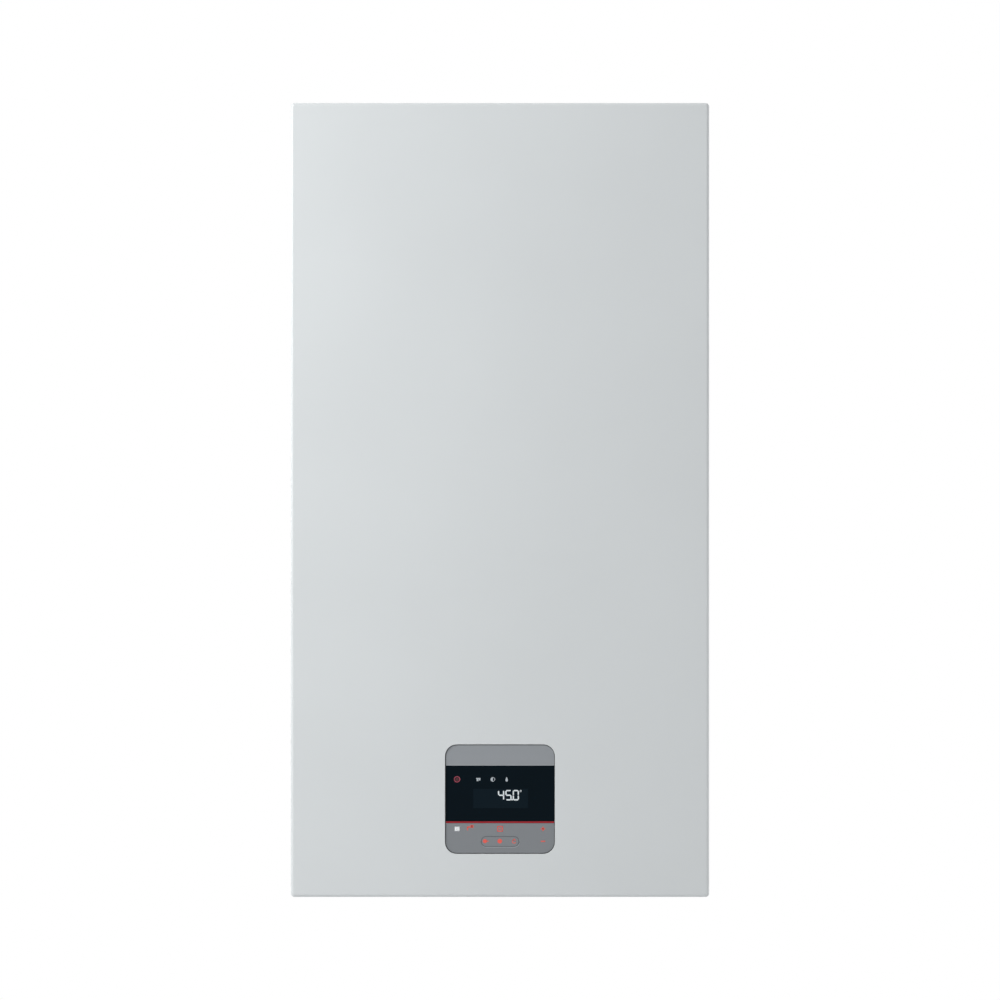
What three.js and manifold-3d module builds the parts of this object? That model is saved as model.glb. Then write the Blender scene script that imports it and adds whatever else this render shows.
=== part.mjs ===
// A wall-hung gas combi boiler with two built-in hot-water tanks, as an assembly of separate pieces.
// Millimetres. +X is to the right as seen from the room, -Y points into the room and +Z is up.
// Heights are worked out from the casing's lower edge and depths from the wall. At the end the whole
// assembly is lowered, so that its origin lies on the rear face of the wall bracket.

import * as THREE from 'three';
import { mergeVertices } from 'three/addons/utils/BufferGeometryUtils.js';
import Module from 'manifold-3d';

const wasm = await Module();
wasm.setup();

// ---------------------------------------------------------------------------------------------
// Driving dimensions
// ---------------------------------------------------------------------------------------------

// Fits
const seat = 0.3; // gap between two pieces that touch
const sheet = 1.2; // thickness of the casing's steel sheet
const holePlay = 2; // play round a pipe where it passes a plate

// Casing
const casingWidth = 470;
const casingHeight = 892;
const casingDepth = 570;
const foldWidth = 14; // width of the folded edges of the side panels
const topRecess = 12; // the top plate lies this far below the side panels' upper edges
const baseRecess = 36; // the base plate lies this far above the side panels' lower edges
const panDepth = 12; // the back panel is a pan that leaves this room for the bracket
const panFoot = 20; // height of the back panel's lower edge
const beadWidth = 30; // stiffening beads pressed into the back panel
const beadLength = 520;
const beadMiddle = 440;
const beadRise = 4;

// Wall bracket
const bracketWidth = 300;
const bracketHeight = 40;
const bracketThickness = 3;
const bracketBelowTop = 70; // bracket's upper edge below the top plate
const bracketLip = 12; // height of the upturned lip
const bracketScrewRadius = 5;
const bracketScrewSpacing = 240;
const hangerRoom = 4; // play between the bracket's lip and the back panel

// Front cover
const coverRim = 37; // depth of the cover's rims
const coverEdge = 3; // bend radius round the cover's face
const coverCorner = 4; // radius of the cover's four corners
const coverFold = 12; // width of the fold along the rims' rear edges
const sealThickness = 2.4;
const sealWidth = 8;
const hookReach = 5; // clear depth of the hook rail behind the upstand
const hookDrop = 8; // height of the hook rail's lip
const hookPlay = 0.6; // play above the upstand that carries the cover
const hookInset = 20; // hook rail's ends from the cover's sides
const matThickness = 10;
const matAbovePanel = 12; // insulation mat above the control panel
const matMargin = 24; // insulation mat's edge from the cover's sides
const windowPlay = 1; // gap between the control panel and the cover's window
const windowLip = 8; // depth of the folded edge round the window
const sealInset = 4; // seal's outer edge from the cover's sides
const apronFoot = 2; // height of the base plate's front apron above the casing's lower edge

// Control panel
const panelWidth = 121.9;
const panelHeight = 121.5;
const panelCorner = 12.5;
const panelCentre = 110; // height of its centre above the casing's lower edge
const panelSink = 1.5; // panel's face behind the cover's face
const panelDepth = 20;
const panelWall = 3;
const capBand = 22.8; // grey band above the glass
const glassBand = 63; // black glass
const accentBand = 1.7; // red strip under the glass
const glassThickness = 3;

// Electronics box
const boxWidth = 400;
const boxHeight = 215;
const boxDepth = 80;
const boxWall = 2.5;
const boxCorner = 8;
const boxLift = 8; // box above the base plate
const plugWidth = 80; // opening behind the control panel
const earHeight = 30; // ears that hold the box to the side panels
const earThickness = 3;
const boardThickness = 1.6;
const boardMargin = 18;
const boardStandoff = 9;
const standoffRadius = 3;
const relaySize = 16;
const relayCount = 5;
const relayFirst = 10; // first relay from the box's middle
const transformerWidth = 58;
const transformerHeight = 46;
const transformerDepth = 36;
const ventSlots = 9;
const ventLength = 60;
const ventWidth = 3;
const ventPitch = 9;

// Heat exchanger with its burner
const exchangerDrop = 190; // its axis below the top plate
const exchangerFront = 84; // its front flange behind the cover's face
const housingRadius = 92;
const housingShare = 0.545; // share of the depth from the vessel's back to the front flange
const housingWall = 2;
const housingFlange = 106;
const flangeThickness = 4;
const cradleHeight = 18; // height of the two cradles under the housing
const cradleInset = 30; // cradles from the housing's ends
const cradleWidth = 90;
const cradleThickness = 6;
const coilPitch = 18;
const coilRadius = 62;
const coilTube = 8;
const coilBack = 15; // last turn from the housing's rear wall
const coilInset = 14; // first turn behind the front flange
const coilStub = 12; // coil's ends below the housing's wall
const coilSteps = 16; // faces along one turn
const coilSides = 8;
const doorThickness = 12;
const doorRim = 6; // height of the door's raised rim
const doorRimWidth = 14;
const doorRibs = 6;
const doorRibWidth = 5;
const doorRibDrop = 2; // ribs behind the rim's face
const doorBore = 17;
const burnerRadius = 32;
const burnerBack = 38; // burner's end from the housing's rear end
const burnerWall = 1;
const burnerFlange = 42;
const burnerFlangeThickness = 2;
const burnerSlots = 12;
const burnerSlotWidth = 3;
const burnerSlotEdge = 12; // slots from the burner's ends
const electrodeRadius = 4;
const electrodeOffset = 48; // from the burner's axis
const electrodeReach = 40; // past the door on each side
const electrodeCollar = 5;
const flueRadius = 30;
const flueWall = 2;
const flueStub = 14; // height of the flue stub on the housing
const drainRadius = 12;
const drainLength = 24;

// Fan, air and gas
const fanGap = 8; // fan's side from the heat exchanger's front flange
const fanSideGap = 15.5; // fan from the left side panel
const fanShare = 0.37; // fan's axis along the heat exchanger's length
const fanHeight = 44;
const fanWall = 2.5;
const voluteSteps = 24; // faces round the volute
const voluteGrowth = 10; // what the radius gains in a turn
const outletWidth = 30;
const outletLength = 42; // outlet's face in front of the fan's axis
const inletRadius = 17;
const wheelGap = 6; // wheel from the volute's tongue
const wheelHeight = 26;
const wheelHub = 9;
const bladeCount = 18;
const bladeThickness = 1.2;
const bladeInner = 19;
const bladeSteps = 3;
const wheelCover = 2; // thickness of the wheel's two rings
const bladeSweep = 0.55; // radians that a blade turns on its way out
const motorRadius = 30;
const motorHeight = 40;
const motorRound = 6;
const plugReach = 6; // motor's plug past its side
const shaftReach = 20; // shaft's end above the fan housing
const shaftRadius = 4;
const shaftPlay = 0.6;
const mixerRadius = 24;
const mixerHeight = 50;
const mixerBore = 15;
const mixerWaist = 5; // how far the mixer narrows
const airPipeRadius = 16;
const airPipeBore = 14;
const airCollar = 4; // collar at the intake's mouth
const airCollarHeight = 8;
const airPortReach = 30; // mixer's air port behind the fan's axis
const airPipeBend = 18;
const airPipeGap = 4; // rising air pipe from the fan's back
const airPipeTop = 60; // intake mouth below the top plate
const ductRadius = 18;
const ductWall = 2;
const ductFlange = 8; // flanges' width round the duct
const ductBend = 20;
const ductSides = 16;
const ductForward = 25; // duct's centre line in front of the burner door
const valveWidth = 60;
const valveDepth = 70;
const valveHeight = 56;
const valveCorner = 6;
const valveGap = 18; // gas valve below the mixer
const solenoidRadius = 14;
const solenoidLength = 34;

// Flue adapter
const airSocketRadius = 50; // bore that takes the outer pipe
const adapterWall = 2;
const adapterFlange = 66;
const adapterFlangeThickness = 3;
const adapterRise = 11; // sockets' height above the flange
const adapterDrop = 12; // flue socket's depth below the top plate
const spokeWidth = 4;

// Tanks and vessel
const jacketSideGap = 8.5; // jackets from the side panels
const jacketGap = 9.4; // between the two jackets
const tankHeight = 620;
const tankDome = 26; // height of the domed ends
const tankShelfHeight = 150;
const tankShelfFold = 18;
const tankStubRadius = 10.5;
const jacketThickness = 14;
const jacketWallGap = 10; // jackets from the back panel
const tankFoot = 12; // tank's lower dome above its foot
const footRing = 64; // radius of the ring that the tank stands on
const footRingWall = 3;
const domeSteps = 3;
const tankStub = 16; // height of the pipe stubs on the tanks
const vesselWidth = 360;
const vesselHeight = 270;
const vesselShare = 0.285; // share of the same depth as the heat exchanger's
const vesselCorner = 50;
const vesselRound = 16; // rounding of the vessel's pressed shells
const vesselSeamThickness = 3;
const vesselPortDrop = 16; // vessel's port below the shelf's face
const vesselSeam = 6; // width of the seam where the shells meet
const vesselBack = 5; // vessel from the tank jackets
const vesselPort = 60; // vessel's port from the middle
const hosePipe = 6; // outer radius of the vessel's hose
const shelfBack = 2; // heat exchanger shelf from the tank jackets
const shelfAhead = 10; // shelf's front edge in front of the heat exchanger's flange
const shelfNotch = 8; // play round the gas valve where it passes the shelf
const shelfFlange = 16;

// Water side
const blockWidth = 80;
const blockShare = 0.486; // share of the depth between the tanks and the electronics box
const blockHeight = 130;
const blockCorner = 8;
const blockInner = 60; // blocks' inner faces from the middle
const blockBack = 20; // blocks from the tank jackets
const plateStackWidth = 196;
const plateStackHeight = 74;
const plateStackShare = 0.5; // share of the blocks' depth
const plateRib = 1.6; // depth of the grooves between the stack's plates
const plateGrooves = 6;
const stackBack = 5; // plate heat exchanger's back from the blocks' back faces
const pumpRadius = 42;
const pumpShare = 0.292; // share of the same depth as the blocks'
const pumpWall = 3;
const pumpRound = 8;
const pumpPlay = 1; // play round the rotor and its wheel
const pumpHeight = 66; // pump's axis above the blocks' foot
const rotorRadius = 20;
const rotorLength = 30;
const pumpWheelRadius = 24;
const pumpWheelLength = 8;
const diverterRadius = 16;
const diverterHeight = 60;
const diverterInset = 20; // diverter's axis from the flow block's outer face
const spindleRadius = 3;
const spindleLength = 60;
const spindleChamber = 46; // depth of the chamber in the flow block
const spindlePlay = 3; // play round the disk
const diskRadius = 9;
const diskThickness = 4;
const waterPipe = 9; // outer radius of the domestic and heating pipes
const waterBore = 7.5;
const gasPipe = 9;
const pipeBend = 16;
const nutWall = 5;
const nutFoot = 14; // union nuts above the casing's lower edge
const nutHeight = 16;
const jogDrop = 20; // height of the slanted runs' steps
const flowPort = 85; // exchanger flow pipe's port from the middle
const flowPipeGap = 32; // exchanger flow pipe in front of the flow block
const returnPort = 124; // exchanger return pipe's port from the middle
const hosePort = 118; // vessel hose's port from the middle
const hoseInset = 28; // vessel hose's port in front of the block's rear face
const hoseRise = 30; // hose's lower bend above the plate heat exchanger
const hoseSlant = 60; // height of the hose's slanted run
const linkRise = 28; // tank link above the tanks' stubs
const boreDepth = 20; // drilled depth of the open pipe ends
const pipeFoot = 8; // pipe ends above the casing's lower edge
const connectionLine = 112; // row of pipe ends from the wall
const heatingRun = 48; // heating and gas pipes above the base plate
const waterRun = 76; // hot and cold water pipes above the base plate
const heatingConnection = 100; // heating pipes' ends from the middle
const waterConnection = 45; // hot and cold water pipes' ends from the middle
const trapRadius = 26;
const trapHeight = 140;
const trapOutlet = 10;
const trapNeck = 24;
const hoseWall = 2.5;
const hoseRadius = 11;
const safetyRadius = 13;
const safetyLength = 34;
const safetyOutlet = 36; // outlet's end below the valve's axis
const safetyHeight = 96; // safety valve's axis above the blocks' foot
const knobRadius = 15;
const knobLength = 16;
const knobLobes = 6;
const knobSteps = 6; // faces along one lobe
const knobWave = 1.5; // depth of the lobes
const ventRadius = 15;
const ventHeight = 44;
const ventNeck = 8;
const ventInset = 20; // vent from the return block's inner face
const chargePort = 70; // charge pipe's port on the plate heat exchanger
const chargeRise = 58; // charge pump's axis above the plate heat exchanger
const chargeX = 146; // charge pump's inlet face from the middle
const chargeRadius = 30;
const chargeWidth = 24;
const chargeMotorRadius = 26;
const chargeMotorLength = 40;
const chargeStub = 8; // charge pump's and tank's stubs past what they pass
const chargeLine = 400; // height of the pipe that charges the tanks
const glandRadius = 12;
const glandNeck = 8;
const glandBore = 5;
const glandNut = 8;
const glandHeight = 18;
const glandInset = 43.5; // gland from the base plate's right end
const glandY = 300;

// ---------------------------------------------------------------------------------------------
// Lines that several pieces share, worked out from the driving dimensions
// ---------------------------------------------------------------------------------------------

const sideInner = casingWidth / 2 - sheet; // inner faces of the side panels
const plateEdge = sideInner - seat; // ends of whatever spans between them
const coverFace = -casingDepth;
const coverBack = coverFace + coverRim;
const chassisFront = coverBack + sealThickness + 2 * seat;
const topTop = casingHeight - topRecess;
const topUnder = topTop - sheet;
const baseTop = baseRecess + sheet;
const bracketTop = topUnder - bracketBelowTop;
const hangerHeight = bracketTop - bracketHeight / 2;

const panelFace = coverFace + panelSink;
const boxFront = panelFace + panelDepth + seat;
const boxBack = boxFront + boxDepth;
const boxFoot = baseTop + boxLift;

const jacketRadius = (sideInner - jacketSideGap - jacketGap / 2) / 2;
const tankRadius = jacketRadius - jacketThickness - seat;
const tankX = jacketRadius + jacketGap / 2; // tanks' axes from the middle
const tankY = -(panDepth + jacketWallGap + jacketRadius);
const jacketFront = tankY - jacketRadius;
const shelfRear = jacketFront - shelfBack;

const exchangerAxis = topTop - exchangerDrop;
const flangeFace = coverFace + exchangerFront;
const doorFace = flangeFace - seat - doorThickness;
const shelfTop = exchangerAxis - housingRadius - cradleHeight - seat;
const vesselRear = jacketFront - vesselBack;
const exchangerRoom = vesselRear - flangeFace;
const housingLength = exchangerRoom * housingShare;
const vesselDepth = exchangerRoom * vesselShare;
const vesselMiddle = vesselRear - vesselDepth / 2;
const burnerLength = housingLength - burnerBack;
const flueCentre = flangeFace + (housingLength + flangeThickness) / 2;

// The coil has as many turns as fit, and a half turn more, so that its ends come down on both sides.
const coilRoom = housingLength - housingWall - coilBack - coilInset;
const coilTurns = Math.round(coilRoom / coilPitch - 1 / 2) + 1 / 2;
const coilStart = flangeFace + coilInset;
const coilEnd = coilStart + coilTurns * coilPitch;
const coilFoot = exchangerAxis - Math.sqrt(housingRadius ** 2 - coilRadius ** 2) - coilStub;

const voluteEnd = (plateEdge - fanSideGap - housingFlange - fanGap) / 2;
const voluteStart = voluteEnd - voluteGrowth; // volute's radius at its tongue
const wheelRadius = voluteStart - wheelGap;
const fanX = -(housingFlange + fanGap + voluteEnd);
const fanY = flangeFace + fanShare * housingLength;
const electrodePlace = electrodeOffset / Math.SQRT2;
const trapTop = baseTop + seat + trapHeight;
const outletX = voluteEnd - outletWidth / 2; // outlet's middle from the fan's axis
const ductLine = doorFace - seat - ductForward;
const glandX = plateEdge - glandInset;

const blockRear = jacketFront - blockBack;
const blockRoom = blockRear - boxBack;
const blockDepth = blockRoom * blockShare;
const pumpLength = blockRoom * pumpShare;
const plateStackDepth = blockDepth * plateStackShare;
const blockFront = blockRear - blockDepth;
const blockFoot = baseTop + seat;
const blockTop = blockFoot + blockHeight;
const stackTop = blockTop + seat + plateStackHeight;
const blockMiddle = blockInner + blockWidth / 2;
const pumpAxis = blockFoot + pumpHeight;
const chargeY = blockRear - stackBack - plateStackDepth / 2;
const portLine = (blockFront + chargeY - plateStackDepth / 2) / 2; // row of ports in front of the stack
const diverterX = -(blockInner + blockWidth - diverterInset);

// ---------------------------------------------------------------------------------------------
// Solids
// ---------------------------------------------------------------------------------------------

const weldDistance = 1e-3;
const roundSides = 20;
const fineSides = 20; // rings that show from outside
const smallSides = 10;
const bendSteps = 3; // faces along a pipe's bend
const plainCorners = { curveSegments: 1 }; // corners cut straight across
const windowFaces = { curveSegments: 4 }; // finer arcs round the control panel
const overshoot = 1; // a cutting tool reaches this far past the face it opens

// Each axis with the directions that a flat shape's x, y and depth take along it.
const frames = {
  x: [new THREE.Vector3(0, 1, 0), new THREE.Vector3(0, 0, 1), new THREE.Vector3(1, 0, 0)],
  y: [new THREE.Vector3(1, 0, 0), new THREE.Vector3(0, 0, 1), new THREE.Vector3(0, -1, 0)],
  z: [new THREE.Vector3(1, 0, 0), new THREE.Vector3(0, 1, 0), new THREE.Vector3(0, 0, 1)],
};

function cornersOf(geometry) {
  const bare = geometry.clone();
  bare.deleteAttribute('normal');
  bare.deleteAttribute('uv');
  return mergeVertices(bare, weldDistance);
}

// A closed geometry as a solid for cutting and joining. Faces that shrank to a line at an axis are
// left out, and a profile that was listed the other way round is turned to face out.
function solidOf(geometry) {
  const merged = cornersOf(geometry);
  const corners = merged.index.array;
  const triangles = [];
  for (let i = 0; i < corners.length; i += 3) {
    const [a, b, c] = corners.slice(i, i + 3);
    if (a !== b && b !== c && c !== a) {
      triangles.push(a, b, c);
    }
  }
  const build = (order) => new wasm.Manifold(new wasm.Mesh({
    numProp: 3,
    vertProperties: merged.attributes.position.array,
    triVerts: new Uint32Array(order),
  }));
  const made = build(triangles);
  return made.volume() < 0 ? build(triangles.reverse()) : made;
}

function geometryOf(solid) {
  const mesh = solid.getMesh();
  const geometry = new THREE.BufferGeometry();
  geometry.setAttribute('position', new THREE.BufferAttribute(mesh.vertProperties.slice(), 3));
  geometry.setIndex(new THREE.BufferAttribute(mesh.triVerts.slice(), 1));
  geometry.computeVertexNormals();
  return geometry;
}

function join(...solids) {
  return solids.reduce((whole, next) => whole.add(next));
}

function cut(body, ...tools) {
  return tools.reduce((rest, tool) => rest.subtract(tool), body);
}

function block([x0, x1], [y0, y1], [z0, z1], turnAxis = frames.z[2], turn = 0) {
  const geometry = new THREE.BoxGeometry(x1 - x0, y1 - y0, z1 - z0);
  geometry.translate((x0 + x1) / 2, (y0 + y1) / 2, (z0 + z1) / 2);
  geometry.applyMatrix4(new THREE.Matrix4().makeRotationAxis(turnAxis, turn));
  return solidOf(geometry);
}

function ascending(a, b) {
  return a - b;
}

function around(middle, size) {
  return [middle - size / 2, middle + size / 2];
}

// Places of the two cross directions and of the axis, as x, y and z.
function placed(axis, [first, second], along = 0) {
  if (axis === 'x') {
    return [along, first, second];
  }
  if (axis === 'y') {
    return [first, along, second];
  }
  return [first, second, along];
}

// A profile of [radius, place along the axis] turned round that axis.
function turned(axis, profile, centre = [0, 0], sides = roundSides) {
  const geometry = new THREE.LatheGeometry(profile.map(([r, t]) => new THREE.Vector2(r, t)), sides);
  if (axis === 'x') {
    geometry.rotateZ(-Math.PI / 2);
  }
  if (axis === 'z') {
    geometry.rotateX(Math.PI / 2);
  }
  geometry.translate(...placed(axis, centre));
  return solidOf(geometry);
}

function rod(axis, radius, [from, to], centre = [0, 0], sides = roundSides) {
  return turned(axis, [[0, from], [radius, from], [radius, to], [0, to]], centre, sides);
}

function sleeve(axis, radius, bore, [from, to], centre = [0, 0], sides = roundSides) {
  const profile = [[bore, from], [radius, from], [radius, to], [bore, to], [bore, from]];
  return turned(axis, profile, centre, sides);
}

// A flat shape given depth along an axis.
function prism(axis, shape, [from, to], options = {}) {
  const settings = { depth: to - from, bevelEnabled: false, curveSegments: 2, ...options };
  const geometry = new THREE.ExtrudeGeometry(shape, settings);
  geometry.applyMatrix4(new THREE.Matrix4().makeBasis(...frames[axis]));
  geometry.translate(...placed(axis, [0, 0], axis === 'y' ? to : from));
  return solidOf(geometry);
}

function roundedRectangle(width, height, radius, [x, y] = [0, 0]) {
  const right = x + width / 2 - radius;
  const left = x - width / 2 + radius;
  const top = y + height / 2 - radius;
  const bottom = y - height / 2 + radius;
  const shape = new THREE.Shape();
  shape.absarc(right, bottom, radius, -Math.PI / 2, 0);
  shape.absarc(right, top, radius, 0, Math.PI / 2);
  shape.absarc(left, top, radius, Math.PI / 2, Math.PI);
  shape.absarc(left, bottom, radius, Math.PI, 1.5 * Math.PI);
  return shape;
}

function polygon(points) {
  return new THREE.Shape(points.map(([x, y]) => new THREE.Vector2(x, y)));
}

function circle(radius, sides, [x, y] = [0, 0]) {
  const points = [];
  for (let i = 0; i < sides; i += 1) {
    const angle = (2 * Math.PI * i) / sides;
    points.push([x + radius * Math.cos(angle), y + radius * Math.sin(angle)]);
  }
  return polygon(points);
}

// A centre line through given stations, each a point with the direction that the line has there.
class Route extends THREE.Curve {
  constructor(stations) {
    super();
    this.stations = stations;
  }

  getUtoTmapping(u) {
    return u;
  }

  getPoint(t, target = new THREE.Vector3()) {
    const place = t * (this.stations.length - 1);
    const index = Math.min(Math.floor(place), this.stations.length - 2);
    const [from, to] = [this.stations[index].point, this.stations[index + 1].point];
    return target.lerpVectors(from, to, place - index);
  }

  getTangent(t, target = new THREE.Vector3()) {
    const index = Math.round(t * (this.stations.length - 1));
    return target.copy(this.stations[index].direction);
  }
}

// Stations round one bent corner, where the line turns from one direction to the other.
function arcStations(corner, before, after, bend, steps) {
  const turn = before.angleTo(after);
  const inward = after.clone().addScaledVector(before, -Math.cos(turn)).normalize();
  const start = corner.clone().addScaledVector(before, -bend * Math.tan(turn / 2));
  const stations = [];
  for (let step = 0; step <= steps; step += 1) {
    const angle = (turn * step) / steps;
    const point = start.clone();
    point.addScaledVector(before, bend * Math.sin(angle));
    point.addScaledVector(inward, bend * (1 - Math.cos(angle)));
    const direction = before.clone().multiplyScalar(Math.cos(angle));
    direction.addScaledVector(inward, Math.sin(angle));
    stations.push({ point, direction });
  }
  return stations;
}

// Straight runs between corners, with an arc round each corner between the ends.
function bentStations(corners, bend, steps) {
  const places = corners.map((corner) => new THREE.Vector3(...corner));
  const runs = places.slice(1).map((place, i) => place.clone().sub(places[i]).normalize());
  const last = places.length - 1;
  const stations = [{ point: places[0], direction: runs[0] }];
  for (let i = 1; i < last; i += 1) {
    stations.push(...arcStations(places[i], runs[i - 1], runs[i], bend, steps));
  }
  stations.push({ point: places[last], direction: runs[last - 1] });
  return stations;
}

function drill(point, direction, radius, depth, sides) {
  const geometry = new THREE.ExtrudeGeometry(circle(radius, sides), {
    depth: depth + overshoot,
    bevelEnabled: false,
  });
  geometry.translate(0, 0, -overshoot);
  geometry.applyQuaternion(new THREE.Quaternion().setFromUnitVectors(frames.z[2], direction));
  geometry.translate(point.x, point.y, point.z);
  return solidOf(geometry);
}

function swept(section, stations) {
  return solidOf(new THREE.ExtrudeGeometry(section, {
    steps: stations.length - 1,
    extrudePath: new Route(stations),
    bevelEnabled: false,
  }));
}

// A bent pipe. A bore opens both ends to the drilled depth, or the whole pipe where it is hollow.
function pipe(corners, radius, { bend = pipeBend, sides = smallSides, bore = 0, hollow = false } = {}) {
  const stations = bentStations(corners, bend, bendSteps);
  const section = circle(radius, sides);
  if (hollow) {
    section.holes.push(circle(bore, sides));
  }
  const body = swept(section, stations);
  if (hollow || bore === 0) {
    return body;
  }
  const first = stations[0];
  const last = stations[stations.length - 1];
  return cut(
    body,
    drill(first.point, first.direction, bore, boreDepth, sides),
    drill(last.point, last.direction.clone().negate(), bore, boreDepth, sides),
  );
}

// ---------------------------------------------------------------------------------------------
// Finishes
// ---------------------------------------------------------------------------------------------

function finish(color, roughness, metalness = 0) {
  return new THREE.MeshStandardMaterial({ color, roughness, metalness });
}

const whitePaint = finish(0xd4d8d9, 0.35);
const zincSheet = finish(0xa9adb0, 0.45, 0.9);
const stainless = finish(0xb9bcbe, 0.3, 1);
const castAluminium = finish(0x9fa3a6, 0.55, 0.9);
const copper = finish(0xb87a56, 0.35, 1);
const brass = finish(0xb59a58, 0.4, 1);
const redPaint = finish(0x9c2a26, 0.45);
const greyPlastic = finish(0x8a8f93, 0.5);
const blackPlastic = finish(0x26282a, 0.55);
const darkGlass = finish(0x08161f, 0.08);
const redPlastic = finish(0xa51423, 0.35);
const foamInsulation = finish(0x3c3f42, 0.95);
const whiteMat = finish(0xd9d9d4, 0.95);
const rubber = finish(0x1f2021, 0.8);
const boardGreen = finish(0x2d5a3d, 0.5);
const whitePlastic = finish(0xdadcd8, 0.5);

function piece(name, material, solid) {
  const mesh = new THREE.Mesh(geometryOf(solid), material);
  mesh.name = name;
  return mesh;
}

function group(position, ...pieces) {
  const made = new THREE.Group();
  made.position.set(...position);
  made.add(...pieces);
  return made;
}

// ---------------------------------------------------------------------------------------------
// Casing
// ---------------------------------------------------------------------------------------------

const across = [-plateEdge, plateEdge];
const upstandTop = casingHeight - sheet - hookPlay;
const slotTop = bracketTop + seat;

function backPanel() {
  const top = topUnder - seat;
  const pan = cut(
    block(across, [-panDepth, 0], [panFoot, top]),
    block(
      [-plateEdge + sheet, plateEdge - sheet],
      [-panDepth + sheet, overshoot],
      [panFoot + sheet, top - sheet],
    ),
  );
  const beads = [-1, 1].map((side) => prism(
    'y',
    roundedRectangle(beadWidth, beadLength, beadWidth / 2, [side * tankX, beadMiddle]),
    [-panDepth + sheet / 2, -panDepth + sheet + beadRise],
  ));
  const slot = block(
    around(0, bracketWidth + 2 * hangerRoom),
    [-panDepth - overshoot, -panDepth + sheet + overshoot],
    [slotTop - bracketLip - bracketThickness - hangerRoom, slotTop],
  );
  return piece('back_panel', zincSheet, cut(join(pan, ...beads), slot));
}

function wallBracket() {
  const lipBack = -panDepth - hangerRoom;
  const lipFront = lipBack - bracketThickness;
  const under = bracketTop - bracketThickness;
  const foot = bracketTop - bracketHeight;
  const profile = polygon([
    [0, foot],
    [0, bracketTop],
    [lipBack, bracketTop],
    [lipBack, bracketTop + bracketLip],
    [lipFront, bracketTop + bracketLip],
    [lipFront, under],
    [-bracketThickness, under],
    [-bracketThickness, foot],
  ]);
  const rail = prism('x', profile, around(0, bracketWidth));
  const holes = [-1, 1].map((side) => rod(
    'y',
    bracketScrewRadius,
    [-bracketThickness - overshoot, overshoot],
    [side * bracketScrewSpacing / 2, hangerHeight],
    smallSides,
  ));
  return piece('wall_bracket', zincSheet, cut(rail, ...holes));
}

// A side panel with its front edge folded inwards. The fold ends under the top plate.
function sidePanel(name, side) {
  const edge = (side * casingWidth) / 2;
  const web = block([side * sideInner, edge].sort(ascending), [chassisFront, 0], [0, casingHeight]);
  const fold = block(
    [edge - side * sheet / 2, edge - side * foldWidth].sort(ascending),
    [chassisFront, chassisFront + sheet],
    [0, topUnder - seat],
  );
  return piece(name, whitePaint, join(web, fold));
}

function topPlate() {
  const plate = block(across, [chassisFront, 0], [topUnder, topTop]);
  const upstand = block(across, [chassisFront, chassisFront + sheet], [topUnder, upstandTop]);
  const through = [topUnder - overshoot, topTop + overshoot];
  const hole = rod('z', airSocketRadius - holePlay, through, [0, flueCentre], fineSides);
  return piece('top_plate', whitePaint, cut(join(plate, upstand), hole));
}

function basePlate() {
  const apronEdge = casingWidth / 2 - foldWidth - seat;
  const level = [baseRecess, baseTop];
  const plate = join(
    block(across, [chassisFront + sheet + seat, -panDepth - seat], level),
    block([-apronEdge, apronEdge], [chassisFront, chassisFront + sheet + 2 * seat], level),
    block([-apronEdge, apronEdge], [chassisFront, chassisFront + sheet], [apronFoot, baseTop]),
  );
  const openings = [
    [fanX, -connectionLine, gasPipe],
    [-heatingConnection, -connectionLine, waterPipe],
    [-waterConnection, -connectionLine, waterPipe],
    [waterConnection, -connectionLine, waterPipe],
    [heatingConnection, -connectionLine, waterPipe],
    [0, flueCentre, trapOutlet],
    [glandX, -glandY, glandNeck + seat - holePlay],
  ];
  const holes = openings.map(([x, y, radius]) => rod(
    'z',
    radius + holePlay,
    [baseRecess - overshoot, baseTop + overshoot],
    [x, y],
    smallSides,
  ));
  return piece('base_plate', zincSheet, cut(plate, ...holes));
}

// The shelf under both tanks, folded down along its front and its sides.
function tankShelf() {
  const rear = -panDepth - seat;
  const tray = cut(
    block(across, [jacketFront, rear], [tankShelfHeight - tankShelfFold, tankShelfHeight]),
    block(
      [-plateEdge + sheet, plateEdge - sheet],
      [jacketFront + sheet, rear + overshoot],
      [tankShelfHeight - tankShelfFold - overshoot, tankShelfHeight - sheet],
    ),
  );
  const holes = [-1, 1].map((side) => rod(
    'z',
    tankStubRadius + holePlay,
    [tankShelfHeight - sheet - overshoot, tankShelfHeight + overshoot],
    [side * tankX, tankY],
    smallSides,
  ));
  return piece('tank_shelf', zincSheet, cut(tray, ...holes));
}

// The shelf that carries the heat exchanger and the expansion vessel. Its left front corner is cut
// away for the gas valve.
function exchangerShelf() {
  const front = flangeFace - shelfAhead;
  const upper = shelfTop + shelfFlange;
  const tray = cut(
    block(across, [front, shelfRear], [shelfTop - sheet, upper]),
    block(
      [-plateEdge + sheet, plateEdge - sheet],
      [front - overshoot, shelfRear + overshoot],
      [shelfTop, upper + overshoot],
    ),
  );
  const through = [shelfTop - sheet - overshoot, upper + overshoot];
  const notch = block(
    [-plateEdge - overshoot, fanX + valveWidth / 2 + shelfNotch],
    [front - overshoot, fanY + valveDepth / 2 + shelfNotch],
    through,
  );
  const openings = [
    [coilRadius, coilStart, waterPipe],
    [-coilRadius, coilEnd, waterPipe],
    [0, flueCentre, drainRadius],
    [-vesselPort, vesselMiddle, hosePipe],
  ];
  const holes = openings.map(([x, y, radius]) => rod('z', radius + holePlay, through, [x, y], smallSides));
  return piece('exchanger_shelf', zincSheet, cut(tray, notch, ...holes));
}

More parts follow.
